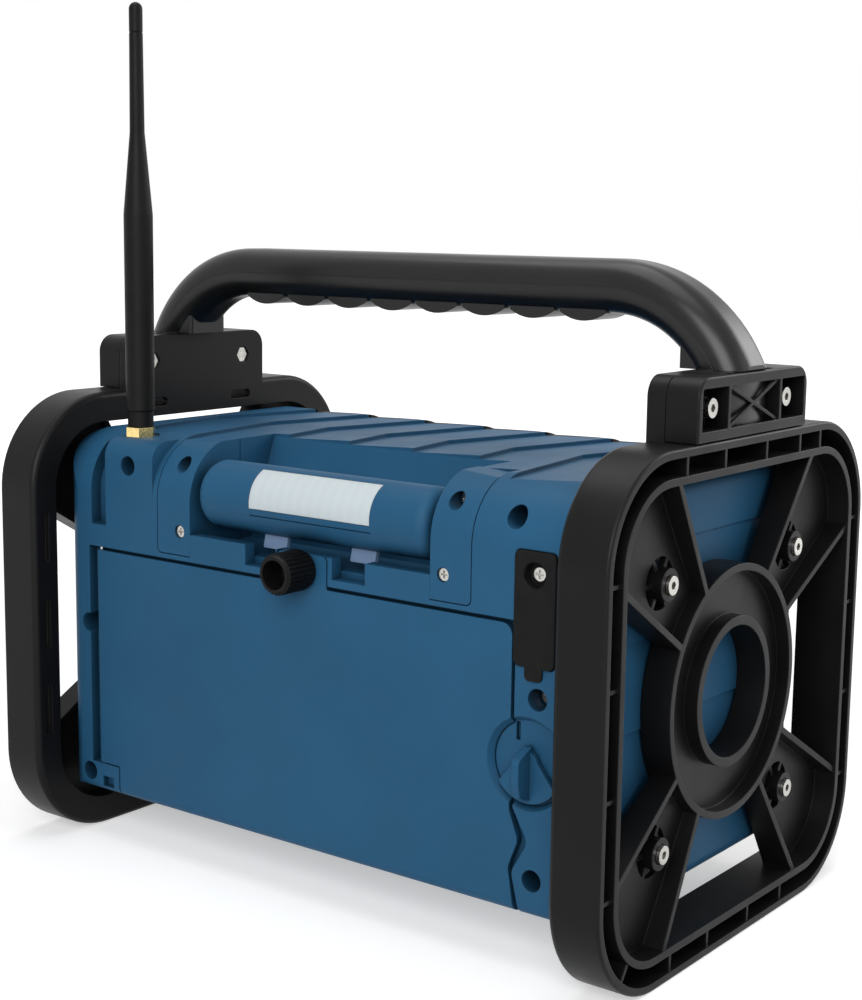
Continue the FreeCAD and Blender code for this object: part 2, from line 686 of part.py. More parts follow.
def rounded_prism(axis, corners, start, end):
    """Outline of (a, b, radius) corners extruded along an axis, each corner rounded."""
    flat = [Vector(a, b, 0) for a, b, radius in corners]
    count = len(flat)
    turns = []
    for i, (a, b, radius) in enumerate(corners):
        if radius > 0:
            turns.append(rounded_corner(flat[i - 1], flat[i], flat[(i + 1) % count], radius))
        else:
            turns.append((flat[i], flat[i], flat[i]))
    edges = []
    for i, turn in enumerate(turns):
        first, middle, last = [place(axis, start, point.x, point.y) for point in turn]
        if corners[i][2] > 0:
            edges.append(Part.Arc(first, middle, last).toShape())
        onward = turns[(i + 1) % count][0]
        onward = place(axis, start, onward.x, onward.y)
        if last.distanceToPoint(onward) > 1e-6:
            edges.append(Part.makeLine(last, onward))
    face = Part.Face(Part.Wire(edges))
    return face.extrude(DIRECTION[axis] * (end - start))


def rounded_box(axis, a0, a1, b0, b1, radius, start, end):
    """Box whose four edges along one axis are rounded."""
    low_a, high_a = sorted((a0, a1))
    low_b, high_b = sorted((b0, b1))
    corners = [
        (low_a, low_b, radius),
        (high_a, low_b, radius),
        (high_a, high_b, radius),
        (low_a, high_b, radius),
    ]
    return rounded_prism(axis, corners, start, end)


def polygon_rod(axis, centre, start, end, flats, sides=6, turn=0.0):
    """Regular prism given by the distance across its flats."""
    radius = flats / 2 / math.cos(math.pi / sides)
    points = []
    for i in range(sides):
        angle = math.radians(turn) + 2 * math.pi * i / sides
        points.append((centre[0] + radius * math.cos(angle), centre[1] + radius * math.sin(angle)))
    return prism(axis, points, start, end)


def fluted_rod(axis, centre, start, end, radius, depth, flutes):
    """Rod with pointed flutes all round, for a grip."""
    points = []
    for i in range(2 * flutes):
        reach = radius - depth * (i % 2)
        angle = math.pi * i / flutes
        points.append((centre[0] + reach * math.cos(angle), centre[1] + reach * math.sin(angle)))
    return prism(axis, points, start, end)


def union(shapes):
    """All shapes joined into one."""
    whole = shapes[0]
    if len(shapes) > 1:
        whole = whole.fuse(shapes[1:])
    return whole.removeSplitter()


def group(shapes):
    """Separate solids kept side by side in one sub-part."""
    solids = []
    for shape in shapes:
        solids.extend(shape.Solids)
    return Part.makeCompound(solids)


def mirrored(shape):
    """The same shape at the other end of the radio."""
    return shape.mirror(Vector(0, 0, 0), Vector(1, 0, 0))


def both_ends(shape):
    """A shape and its mirror image at the other end."""
    return [shape, mirrored(shape)]


def about_lamp(shape, angle):
    """Turn a shape about the lamp axis."""
    turned = shape.copy()
    turned.rotate(Vector(0, LAMP_Y, LAMP_Z), Vector(1, 0, 0), angle)
    return turned


def socket_screw(axis, centre, seat, outward, head_radius, head_tall, shank_radius, shank_length):
    """Socket head on its seat, with a shank that points the other way."""
    head = rod(axis, centre, seat, seat + outward * head_tall, head_radius)
    top = seat + outward * head_tall
    bottom = top - outward * SOCKET_DEPTH
    head = head.cut(polygon_rod(axis, centre, min(bottom, top), max(bottom, top), 2 * SOCKET_RADIUS))
    return union([head, rod(axis, centre, seat, seat - outward * shank_length, shank_radius)])


def cross_screw(centre, seat, head_radius, head_tall, shank_radius, shank_length):
    """Pan-head screw with a cross recess, facing the rear."""
    head = rod("y", centre, seat, seat + head_tall, head_radius)
    x, z = centre
    arm = head_radius * CROSS_ARM
    slit = head_radius * CROSS_SLIT
    top = seat + head_tall
    floor = seat + head_tall * CROSS_FLOOR
    head = head.cut(block(x - arm, x + arm, floor, top, z - slit, z + slit))
    head = head.cut(block(x - slit, x + slit, floor, top, z - arm, z + arm))
    return union([head, rod("y", centre, seat, seat - shank_length, shank_radius)])


def guard_outline(inset, start, end):
    """Rounded square of the guard, drawn in by inset."""
    half = GUARD_DEPTH / 2 - inset
    low = inset
    high = GUARD_HEIGHT - inset
    return rounded_box("x", -half, half, low, high, GUARD_CORNER - inset, start, end)


def soften(shape, plane, radius, along="x"):
    """Round the edges that lie in one plane square to an axis."""
    chosen = []
    for edge in shape.Edges:
        box = edge.BoundBox
        low, high = {"x": (box.XMin, box.XMax), "y": (box.YMin, box.YMax), "z": (box.ZMin, box.ZMax)}[along]
        if abs(low - plane) < 1e-4 and abs(high - plane) < 1e-4:
            chosen.append(edge)
    return shape.makeFillet(radius, chosen)


def guard_ring():
    """Ring with its outward channel, cross ribs and slots."""
    body = guard_outline(0, GUARD_INNER, HALF_WIDTH)
    body = soften(body, GUARD_INNER, GUARD_INNER_EDGE)
    body = soften(body, HALF_WIDTH, GUARD_OUTER_EDGE)
    body = body.cut(guard_outline(GUARD_RING, GUARD_INNER - GAP, HALF_WIDTH + GAP))
    start = GUARD_INNER + GUARD_WEB
    channel = guard_outline(GUARD_RIM_WALL, start, HALF_WIDTH + GAP)
    channel = channel.cut(guard_outline(GUARD_RING - GUARD_INNER_WALL, start, HALF_WIDTH + GAP))
    ribs = []
    rib_top = HALF_WIDTH - CHANNEL_RIB_DROP
    half_rib = CHANNEL_RIB / 2
    foot = start - OVERLAP
    for offset in (SIDE_RIB_NEAR, SIDE_RIB_FAR):
        for level in (GUARD_CENTRE - offset, GUARD_CENTRE + offset):
            ribs.append(block(foot, rib_top, -FAR, FAR, level - half_rib, level + half_rib))
    for offset in (BAR_RIB_NEAR, BAR_RIB_FAR):
        for place_y in (BAR_RIB_CENTRE - offset, BAR_RIB_CENTRE + offset):
            ribs.append(block(foot, rib_top, place_y - half_rib, place_y + half_rib, -FAR, FAR))
    ribs.append(block(foot, rib_top, TOP_BAR_RIB - half_rib, TOP_BAR_RIB + half_rib, GUARD_CENTRE, FAR))
    ribs.append(corner_rib(foot, rib_top, half_rib))
    body = body.cut(channel.cut(ribs))
    return body.cut(guard_slots())


def corner_rib(start, end, half_rib):
    """Rib across the channel at the lower rear corner, square to the rounding."""
    y = GUARD_DEPTH / 2 - GUARD_CORNER
    z = GUARD_CORNER
    rib = block(start, end, y, y + GUARD_DEPTH, z - half_rib, z + half_rib)
    rib.rotate(Vector(0, y, z), Vector(1, 0, 0), CORNER_RIB_ANGLE)
    return rib


def guard_slots():
    """Slots through the web of the ring: three in each upright, two in the top bar."""
    middle = GUARD_RIM_WALL + (GUARD_RING - GUARD_RIM_WALL - GUARD_INNER_WALL) / 2
    start = GUARD_INNER - GAP
    end = GUARD_INNER + GUARD_WEB + GAP
    slots = []
    for side in (-1, 1):
        y = side * (GUARD_DEPTH / 2 - middle)
        for step in (-1, 0, 1):
            z = GUARD_CENTRE + step * SIDE_SLOT_PITCH
            half = SIDE_SLOT_HEIGHT / 2
            width = SIDE_SLOT_WIDTH / 2
            slots.append(block(start, end, y - width, y + width, z - half, z + half))
        y = side * TOP_SLOT_OFFSET
        z = GUARD_HEIGHT - middle
        half = TOP_SLOT_LENGTH / 2
        tall = TOP_SLOT_HEIGHT / 2
        corner = tall * NEARLY_ROUND
        slots.append(rounded_box("x", y - half, y + half, z - tall, z + tall, corner, start, end))
    return slots


def arm_floor_outline(side_y, side_z):
    """Flaring floor of one arm, from the hub to the corner of the ring."""
    far = GUARD_DEPTH
    points = [
        (ARM_HUB_NEAR / 2, ARM_HUB_FAR / 2),
        (ARM_HUB_NEAR, ARM_HUB_FAR),
        (ARM_TOP_REACH, GUARD_CENTRE - GUARD_RING),
        (ARM_TOP_REACH, far),
        (far, far),
        (far, ARM_SIDE_REACH),
        (GUARD_DEPTH / 2 - GUARD_RING, ARM_SIDE_REACH),
        (ARM_HUB_WIDE, ARM_HUB_LOW),
        (ARM_HUB_WIDE / 2, ARM_HUB_LOW / 2),
    ]
    return [(side_y * a, GUARD_CENTRE + side_z * b) for a, b in points]


def arm_rib(start, end, side_y, side_z):
    """Upright rib along one edge of an arm, given by two points from the hub centre."""
    line = Vector(end[0] - start[0], end[1] - start[1], 0)
    line.normalize()
    across = Vector(-line.y, line.x, 0) * (ARM_RIB / 2)
    far = line * (2 * GUARD_RING)
    near = line * (-3 * HUB_RIM)
    corners = []
    for base, run, side in ((start, near, 1), (end, far, 1), (end, far, -1), (start, near, -1)):
        a = base[0] + run.x + across.x * side
        b = base[1] + run.y + across.y * side
        corners.append((side_y * a, GUARD_CENTRE + side_z * b))
    return prism("x", corners, HOUSING_HALF_WIDTH + ARM_RIB_LIFT, HUB_TOP + ARM_RIB_RISE)


def guard_arms():
    """Four arms with floors, edge ribs and screw collars, cut by the hub."""
    pieces = []
    for side_y in (-1, 1):
        for side_z in (-1, 1):
            outline = arm_floor_outline(side_y, side_z)
            pieces.append(prism("x", outline, ARM_FLOOR_START, ARM_FLOOR_END))
            top_end = (ARM_TOP_REACH, GUARD_CENTRE - GUARD_RING)
            side_end = (GUARD_DEPTH / 2 - GUARD_RING, ARM_SIDE_REACH)
            pieces.append(arm_rib((ARM_HUB_NEAR, ARM_HUB_FAR), top_end, side_y, side_z))
            pieces.append(arm_rib((ARM_HUB_WIDE, ARM_HUB_LOW), side_end, side_y, side_z))
    arms = union(pieces)
    centre = (0, GUARD_CENTRE)
    inside = guard_outline(GUARD_RING - GUARD_INNER_WALL / 2, HOUSING_HALF_WIDTH, HALF_WIDTH)
    arms = arms.common(inside)
    hub = rod("x", centre, HOUSING_HALF_WIDTH - GAP, HALF_WIDTH, HUB_RADIUS - HUB_RIM / 2)
    slope = cone("x", centre, HUB_TOP, HUB_TOP + ARM_RIB_RISE, HUB_RADIUS, GUARD_DEPTH / 2)
    return arms.cut([hub, slope])


def guard_hub():
    """Hub ring with a sunk web and a collar round its through hole."""
    centre = (0, GUARD_CENTRE)
    web_top = HUB_TOP - HUB_WEB_DEPTH
    rim = tube("x", centre, HOUSING_HALF_WIDTH, HUB_TOP, HUB_RADIUS, HUB_RADIUS - HUB_RIM)
    web = tube("x", centre, web_top - HUB_WEB, web_top, HUB_RADIUS - HUB_RIM / 2, HUB_HOLE)
    collar = tube("x", centre, HOUSING_HALF_WIDTH, HUB_TOP, HUB_HOLE + HUB_COLLAR, HUB_HOLE)
    return union([rim, web, collar])


def screw_collar_cut(centre):
    """Broken ring of openings round one screw collar, with spokes left standing."""
    start = ARM_FLOOR_START - GAP
    end = ARM_FLOOR_END + GAP
    ring = tube("x", centre, start, end, PETAL_RADIUS, COLLAR_RADIUS)
    spokes = []
    for i in range(PETAL_SPOKES):
        y, z = centre
        half = PETAL_SPOKE / 2
        reach = 2 * PETAL_RADIUS
        spoke = block(start - GAP, end + GAP, y - reach, y + reach, z - half, z + half)
        spoke.rotate(Vector(0, y, z), Vector(1, 0, 0), 180.0 * i / PETAL_SPOKES)
        spokes.append(spoke)
    return ring.cut(spokes)


def guard_bracket():
    """Inner half of the handle bracket, standing on the top bar of the guard."""
    half = BRACKET_HALF_DEPTH
    foot = GUARD_HEIGHT - GUARD_RIM_WALL
    corners = [
        (-half, foot, 0),
        (half, foot, 0),
        (half, BRACKET_TOP, BRACKET_CORNER),
        (-half, BRACKET_TOP, BRACKET_CORNER),
    ]
    return rounded_prism("x", corners, GUARD_INNER, BRACKET_SEAM)


def bracket_cuts():
    """Pocket for the handle tongue, bolt holes and nut recesses of the inner half."""
    skin = GUARD_INNER + TONGUE_INNER_SKIN
    half = TONGUE_HALF_DEPTH + GAP
    cuts = [block(skin, BRACKET_SEAM + GAP, -half, half, GUARD_HEIGHT + GAP, BRACKET_TOP + GAP)]
    for y in (-CLAMP_BOLT_OFFSET, CLAMP_BOLT_OFFSET):
        centre = (y, CLAMP_BOLT_HEIGHT)
        hole = CLAMP_BOLT_RADIUS + CLEARANCE_HOLE
        cuts.append(rod("x", centre, GUARD_INNER - GAP, BRACKET_SEAM + GAP, hole))
        recess = GUARD_INNER + NUT_SUNK + NUT_TALL + GAP
        cuts.append(polygon_rod("x", centre, GUARD_INNER - GAP, recess, NUT_FLATS + GAP))
    return cuts


def guard():
    """One end guard, at the +X end."""
    pieces = [guard_ring(), guard_arms(), guard_hub(), guard_bracket()]
    for centre in GUARD_SCREWS:
        pieces.append(rod("x", centre, HOUSING_HALF_WIDTH, HUB_TOP - COLLAR_SUNK, COLLAR_RADIUS))
    body = union(pieces)
    cuts = bracket_cuts()
    seat = HUB_TOP - GUARD_SCREW_HEAD_TALL
    for centre in GUARD_SCREWS:
        cuts.append(screw_collar_cut(centre))
        hole = GUARD_SCREW_RADIUS + CLEARANCE_HOLE
        cuts.append(rod("x", centre, HOUSING_HALF_WIDTH - GAP, HALF_WIDTH, hole))
        cuts.append(rod("x", centre, seat, HALF_WIDTH, GUARD_SCREW_HEAD + GAP))
    return body.cut(cuts)


def guard_screws():
    """Eight socket screws that hold the guards to the ends of the housing."""
    seat = HUB_TOP - GUARD_SCREW_HEAD_TALL
    length = seat - HOUSING_HALF_WIDTH + GUARD_SCREW_GRIP
    screws = []
    for centre in GUARD_SCREWS:
        screw = socket_screw(
            "x", centre, seat, 1, GUARD_SCREW_HEAD, GUARD_SCREW_HEAD_TALL, GUARD_SCREW_RADIUS, length
        )
        screws.extend(both_ends(screw))
    return group(screws)


def handle_clamp():
    """Ribbed outer half of the handle bracket, at the +X end."""
    half = BRACKET_HALF_DEPTH
    body = rounded_prism(
        "x",
        [
            (-half, CLAMP_BOTTOM, 0),
            (half, CLAMP_BOTTOM, 0),
            (half, BRACKET_TOP, BRACKET_CORNER),
            (-half, BRACKET_TOP, BRACKET_CORNER),
        ],
        CLAMP_INNER,
        HALF_WIDTH,
    )
    body = soften(body, HALF_WIDTH, ROUND_EDGE)
    low = CLAMP_BOTTOM + CLAMP_FRAME
    high = BRACKET_TOP - CLAMP_FRAME
    wall = CLAMP_DIVIDER_WALL / 2
    middle = CLAMP_DIVIDER - wall
    cuts = [block(CLAMP_INNER - GAP, HALF_WIDTH + GAP, -middle, middle, low, high)]
    outer = half - CLAMP_WALL
    for side in (-1, 1):
        inner = CLAMP_DIVIDER + wall
        cell = rounded_box(
            "x", side * inner, side * outer, low, high, ROUND_EDGE, CLAMP_FLOOR_X, HALF_WIDTH + GAP
        )
        centre = (side * CLAMP_BOLT_OFFSET, CLAMP_BOLT_HEIGHT)
        cuts.append(cell.cut(rod("x", centre, CLAMP_INNER, CLAMP_BOLT_SEAT, CLAMP_BOSS_RADIUS)))
        hole = CLAMP_BOLT_RADIUS + CLEARANCE_HOLE
        cuts.append(rod("x", centre, CLAMP_INNER - GAP, HALF_WIDTH, hole))
    tongue = TONGUE_HALF_DEPTH + GAP
    slot_bottom = GUARD_HEIGHT + GAP + TONGUE_BOTTOM_GAP
    cuts.append(block(CLAMP_INNER - GAP, TONGUE_OUTER + GAP, -tongue, tongue, slot_bottom, BRACKET_TOP + GAP))
    body = body.cut(cuts)
    return union([body, clamp_cross(middle, low, high)])


def clamp_cross(middle, low, high):
    """Crossed ribs in the middle cell of the clamp."""
    start = HALF_WIDTH - CLAMP_CROSS_DEPTH
    run = Vector(2 * middle, high - low, 0)
    across = Vector(-run.y, run.x, 0).normalize() * (CLAMP_CROSS / 2)
    bars = []
    for flip in (-1, 1):
        corners = []
        for end, side in ((-1, 1), (1, 1), (1, -1), (-1, -1)):
            a = end * middle * CLAMP_CROSS_OVERRUN + across.x * side
            rise = end * (high - low) / 2 * CLAMP_CROSS_OVERRUN + across.y * side
            b = (low + high) / 2 + flip * rise
            corners.append((a, b))
        bars.append(prism("x", corners, start, HALF_WIDTH - ROUND_EDGE))
    return union(bars)


def clamp_bolts():
    """Four bolts through the clamps, heads outside."""
    seat = CLAMP_BOLT_SEAT
    length = seat - GUARD_INNER - NUT_SUNK
    bolts = []
    for y in (-CLAMP_BOLT_OFFSET, CLAMP_BOLT_OFFSET):
        bolt = socket_screw(
            "x",
            (y, CLAMP_BOLT_HEIGHT),
            seat,
            1,
            CLAMP_BOLT_HEAD,
            CLAMP_BOLT_HEAD_TALL,
            CLAMP_BOLT_RADIUS,
            length,
        )
        bolts.extend(both_ends(bolt))
    return group(bolts)


def clamp_nuts():
    """Four hex nuts in their recesses on the inner side of the brackets."""
    nuts = []
    start = GUARD_INNER + NUT_SUNK
    for y in (-CLAMP_BOLT_OFFSET, CLAMP_BOLT_OFFSET):
        centre = (y, CLAMP_BOLT_HEIGHT)
        nut = polygon_rod("x", centre, start, start + NUT_TALL, NUT_FLATS)
        nut = nut.cut(rod("x", centre, start, start + NUT_TALL, CLAMP_BOLT_RADIUS + SCREW_FIT))
        nuts.extend(both_ends(nut))
    return group(nuts)


def handle_half(outer, inset):
    """Swept half of the handle section, above or below the seam at mid height."""
    tall = HANDLE_TALL / 2 - inset
    deep = HANDLE_DEPTH / 2 - inset
    radius = HANDLE_ROUND - inset
    seam_z = HANDLE_TOP - HANDLE_TALL / 2
    side = 1 if outer else -1
    corners = [
        (-deep, seam_z, 0),
        (deep, seam_z, 0),
        (deep, seam_z + side * tall, radius),
        (-deep, seam_z + side * tall, radius),
    ]
    straight = rounded_prism("x", corners, 0, HANDLE_STRAIGHT)
    section = None
    for face in straight.Faces:
        box = face.BoundBox
        if abs(box.XMin - HANDLE_STRAIGHT) < 1e-5 and abs(box.XMax - HANDLE_STRAIGHT) < 1e-5:
            section = face
    pivot = Vector(HANDLE_STRAIGHT, 0, seam_z - HANDLE_BEND)
    bend = section.revolve(pivot, Vector(0, 1, 0), HANDLE_SWEEP)
    return union([straight, bend])


def handle_envelope():
    """Space above the brackets that the handle shells keep to."""
    return block(-GAP, HALF_WIDTH, -FAR, FAR, FOOT_BOTTOM, FAR)


def finger_bump(x):
    """One finger bump under the grip."""
    radius = (FINGER_WIDTH ** 2 / 4 + FINGER_DROP ** 2) / (2 * FINGER_DROP)
    under = HANDLE_TOP - HANDLE_TALL
    drum = rod("y", (x, under - FINGER_DROP + radius), -FINGER_DEPTH / 2, FINGER_DEPTH / 2, radius)
    half = FINGER_WIDTH / 2
    lens = drum.common(block(x - half, x + half, -FAR, FAR, under - FAR, under + HANDLE_WALL / 2))
    return lens


def handle_upper_shell():
    """Upper shell of the handle, over the whole arch."""
    shell = handle_half(True, 0).common(handle_envelope())
    hollow = handle_half(True, HANDLE_WALL)
    shell = shell.cut(hollow.common(block(-GAP, FOOT_INNER, -FAR, FAR, 0, FAR)))
    return union(both_ends(shell))


def handle_lower_shell():
    """Lower shell with finger bumps, feet and the tongues in the brackets."""
    shell = handle_half(False, 0).common(handle_envelope())
    hollow = handle_half(False, HANDLE_WALL)
    shell = shell.cut(hollow.common(block(-GAP, FOOT_INNER, -FAR, FAR, 0, FAR)))
    upper = handle_half(True, 0)
    seam_z = HANDLE_TOP - HANDLE_TALL / 2
    foot = rounded_box(
        "z",
        FOOT_INNER,
        HANDLE_STRAIGHT + HANDLE_BEND,
        -FOOT_DEPTH / 2,
        FOOT_DEPTH / 2,
        FOOT_ROUND,
        FOOT_BOTTOM,
        seam_z - HANDLE_TALL,
    )
    under_arch = rod("y", (HANDLE_STRAIGHT, seam_z - HANDLE_BEND), -FAR, FAR, HANDLE_BEND)
    foot = foot.common(under_arch)
    skin = GUARD_INNER + TONGUE_INNER_SKIN + GAP
    bottom = GUARD_HEIGHT + GAP + TONGUE_BOTTOM_GAP + GAP
    tongue = block(skin, TONGUE_OUTER, -TONGUE_HALF_DEPTH, TONGUE_HALF_DEPTH, bottom, FOOT_BOTTOM)
    tongue = tongue.common(tongue_round())
    half = union([shell, foot]).cut(upper)
    bumps = []
    for i in range(FINGER_COUNT // 2):
        bumps.append(finger_bump(FINGER_PITCH * (i + 0.5)))
    half = union([half, tongue] + bumps)
    return union(both_ends(half))


def tongue_round():
    """Rounded outer side of the tongue, seen through the clamp."""
    centre_x = TONGUE_OUTER - TONGUE_ROUND
    drum = rod("z", (centre_x, 0), 0, FAR, TONGUE_ROUND)
    return union([drum, block(0, centre_x + TONGUE_ROUND / 2, -FAR, FAR, 0, FAR)])


def housing_form(inset):
    """Closed outer form of the housing, drawn in by inset."""
    half = HOUSING_HALF_WIDTH - inset
    rear = HOUSING_REAR - inset
    front = HOUSING_FRONT + inset
    low = HOUSING_BOTTOM + inset
    top = HOUSING_TOP - inset
    side = [
        (front, low, BOTTOM_ROUND - inset),
        (rear, low, BOTTOM_ROUND - inset),
        (rear, top, REAR_TOP_ROUND - inset),
        (front, top, FRONT_TOP_ROUND - inset),
    ]
    body = rounded_prism("x", side, -half, half)
    edge = EDGE_ROUND - inset
    plan = rounded_box("z", -half, half, front, rear, edge, low, top)
    face = rounded_box("y", -half, half, low, top, edge, front, rear)
    return body.common(plan).common(face)


def top_steps():
    """Wedges that leave chevron steps on the top of the housing."""
    wedges = []
    for i in range(-1, STEP_COUNT):
        high = STEP_FIRST - STEP_PITCH * i
        low = high - STEP_PITCH
        top = HOUSING_TOP
        points = [
            Vector(high, STEP_APEX_Y, top - STEP_DROP),
            Vector(low, STEP_APEX_Y, top),
            Vector(low, STEP_APEX_Y, top + STEP_DROP),
            Vector(high, STEP_APEX_Y, top + STEP_DROP),
        ]
        face = Part.Face(Part.makePolygon(points + points[:1]))
        rear_run = HOUSING_REAR - STEP_APEX_Y
        front_run = STEP_APEX_Y - HOUSING_FRONT
        wedges.append(face.extrude(Vector(-STEP_REAR_SLOPE * rear_run, rear_run, 0)))
        wedges.append(face.extrude(Vector(-STEP_FRONT_SLOPE * front_run, -front_run, 0)))
    return wedges


def end_laps():
    """Wedges that leave horizontal laps on both ends of the housing."""
    wedges = []
    for i in range(LAP_COUNT):
        high = LAP_FIRST - STEP_PITCH * i
        low = high - STEP_PITCH
        points = [
            (HOUSING_HALF_WIDTH - LAP_DEPTH, high),
            (HOUSING_HALF_WIDTH, low),
            (HOUSING_HALF_WIDTH + LAP_DEPTH, low),
            (HOUSING_HALF_WIDTH + LAP_DEPTH, high),
        ]
        corners = [Vector(a, HOUSING_FRONT, b) for a, b in points]
        face = Part.Face(Part.makePolygon(corners + corners[:1]))
        wedges.extend(both_ends(face.extrude(Vector(0, HOUSING_REAR - HOUSING_FRONT, 0))))
    return wedges


def bay_outline(grow):
    """Side outline of the lamp bay, grown by a wall thickness."""
    return [
        (BAY_BACK_TOP_Y - grow, HOUSING_TOP + THICK_WALL),
        (BAY_BACK_TOP_Y - grow, HOUSING_TOP - STEP_DROP - grow),
        (BAY_BACK_FOOT_Y - grow, BAY_FLOOR - grow),
        (HOUSING_REAR - LEDGE_THICKNESS, BAY_FLOOR - grow),
        (HOUSING_REAR - LEDGE_THICKNESS, LEDGE_TOP - grow),
        (HOUSING_REAR + THICK_WALL, LEDGE_TOP - grow),
        (HOUSING_REAR + THICK_WALL, HOUSING_TOP + THICK_WALL),
    ]


def notch(side, grow):
    """Notch in the ledge where a finger tab of the lamp swings through."""
    half = NOTCH_WIDTH / 2 + grow
    centre = side * TAB_OFFSET
    y = HOUSING_REAR - LEDGE_THICKNESS - GAP
    return block(centre - half, centre + half, y, FAR, NOTCH_BOTTOM - grow, LEDGE_TOP + GAP)


def cheek_space(side, grow):
    """Space that a cheek cover fills, grown by a clearance or a wall."""
    inner = side * BAY_HALF_WIDTH
    outer = side * (CHEEK_OUTER + grow)
    low = CHEEK_BOTTOM - grow
    corners = [
        (inner, low, 0),
        (outer, low, CHEEK_CORNER + grow),
        (outer, FAR, 0),
        (inner, FAR, 0),
    ]
    return rounded_prism("y", corners, CHEEK_BACK_Y - grow, FAR)


def hump():
    """Flat-topped hump under the antenna."""
    side = [
        (ANTENNA_Y - HUMP_REACH, HUMP_TOP - HUMP_FOOT, 0),
        (HOUSING_REAR, HUMP_TOP - HUMP_FOOT, 0),
        (HOUSING_REAR, HUMP_TOP, HUMP_ROUND),
        (ANTENNA_Y - HUMP_REACH, HUMP_TOP, 0),
    ]
    return rounded_prism("x", side, HUMP_RIGHT, HUMP_LEFT)


def door_outline(grown, hinge_gap, foot_drop):
    """Corners of the door, or of its recess when grown is 1 instead of 0."""
    gap = grown * DOOR_GAP
    top = DOOR_TOP + grown * DOOR_SIDE_GAP
    left = DOOR_LEFT + hinge_gap
    right = DOOR_RIGHT - grown * DOOR_SIDE_GAP
    spread = grown * DOOR_WAVE_SPREAD
    foot_x = DOOR_FOOT_X - grown * DOOR_FOOT_GAP
    foot_z = HOUSING_BOTTOM - foot_drop
    corner = DOOR_CORNER - grown * (DOOR_CORNER - ROUND_EDGE)
    small = ROUND_EDGE
    return [
        (left, top, 0),
        (DOOR_TAB_LEFT + gap, top, small),
        (DOOR_TAB_LEFT + gap, DOOR_TAB_TOP + gap, DOOR_CORNER / 2),
        (DOOR_TAB_RIGHT - gap, DOOR_TAB_TOP + gap, DOOR_CORNER / 2),
        (DOOR_TAB_RIGHT - gap, top, small),
        (right, top, corner),
        (right, DOOR_WAVE_TOP + spread, DOOR_CORNER),
        (DOOR_WAVE_X - grown * DOOR_WAVE_GAP, DOOR_WAVE_MIDDLE, DOOR_CORNER),
        (right, DOOR_WAVE_BOTTOM - spread, DOOR_CORNER),
        (foot_x, HOUSING_BOTTOM, 0),
        (foot_x, foot_z, 0),
        (DOOR_STEP_X + gap, foot_z, 0),
        (DOOR_STEP_X + gap, DOOR_STEP_Z - gap, small),
        (left, DOOR_STEP_Z - gap, 0),
    ]


def hinge_pins(radius, extra):
    """Short pins at the upper and lower end of the door's round edge."""
    centre = (HINGE_X, HINGE_Y)
    reach = HINGE_PIN_REACH + extra
    high = DOOR_TOP + DOOR_SIDE_GAP + reach
    low = DOOR_STEP_Z - DOOR_GAP - reach
    depth = HINGE_PIN_DEPTH + extra
    return [
        rod("z", centre, DOOR_TOP - depth, high, radius),
        rod("z", centre, low, DOOR_STEP_Z + depth, radius),
    ]


def dish_wall(start, end):
    """Flared wall of the latch dish, as the space inside it."""
    foot = LATCH_DISH + DISH_FOOT
    slope = DISH_FLARE / DISH_DEPTH
    centre = (LATCH_X, LATCH_Z)
    low = foot + slope * (start - DISH_FLOOR)
    return cone("y", centre, start, end, low, foot + slope * (end - DISH_FLOOR))


def rear_door():
    """Rear door with its tab, round hinge edge and thumb screw hole."""
    panel = rounded_prism("y", door_outline(0, -HINGE_RADIUS, GAP), DOOR_INNER, HOUSING_REAR + GAP)
    panel = panel.common(housing_form(0))
    cuts = [dish_wall(DOOR_INNER - GAP, HOUSING_REAR + GAP)]
    cuts.append(rod("y", (THUMB_X, THUMB_Z), DOOR_INNER - GAP, HOUSING_REAR + GAP, THUMB_SHANK + GAP))
    edge = rod("z", (HINGE_X, HINGE_Y), DOOR_STEP_Z, DOOR_TOP, HINGE_RADIUS)
    body = union([panel.cut(cuts), edge])
    return body.cut(hinge_pins(HINGE_PIN_RADIUS + SCREW_FIT, GAP))


def door_seal():
    """Rubber seal in the groove round the battery bay."""
    start = DOOR_SEAT - DOOR_SEAL_TALL + DOOR_SEAT_GAP - DOOR_SEAL_GAP
    end = DOOR_INNER - DOOR_SEAL_GAP
    return seal_ring(0, start, end)


def seal_ring(grow, start, end):
    """Rounded rectangular ring round the battery window."""
    reach = BATTERY_HALF_WIDTH + DOOR_SEAL_WIDTH
    tall = BATTERY_HALF_HEIGHT + DOOR_SEAL_WIDTH
    width = DOOR_SEAL_WIDTH + grow
    low = BATTERY_CENTRE_Z - tall
    high = BATTERY_CENTRE_Z + tall
    corner = BATTERY_CORNER + DOOR_SEAL_WIDTH
    outer = rounded_box(
        "y", -reach - width, reach + width, low - width, high + width, corner + width, start, end
    )
    inner = rounded_box(
        "y", -reach + grow, reach - grow, low + grow, high - grow, corner - grow, start, end
    )
    return outer.cut(inner)


def latch_dish_cuts():
    """Round dish of the wing latch with its bore and slit."""
    centre = (LATCH_X, LATCH_Z)
    dish = dish_wall(DISH_FLOOR, HOUSING_REAR + GAP)
    bore = rod("y", centre, THICK_INNER - GAP, DISH_FLOOR + GAP, LATCH_SHAFT + SCREW_FIT)
    x = LATCH_X + DISH_SLIT_X
    slit = block(
        x,
        x + DISH_SLIT,
        DISH_FLOOR - DISH_SLIT_DEPTH,
        DISH_FLOOR + GAP,
        LATCH_Z + LATCH_POINT + DISH_SLIT_MARGIN,
        LATCH_Z + LATCH_DISH - DISH_SLIT_MARGIN,
    )
    return [dish, bore, slit]


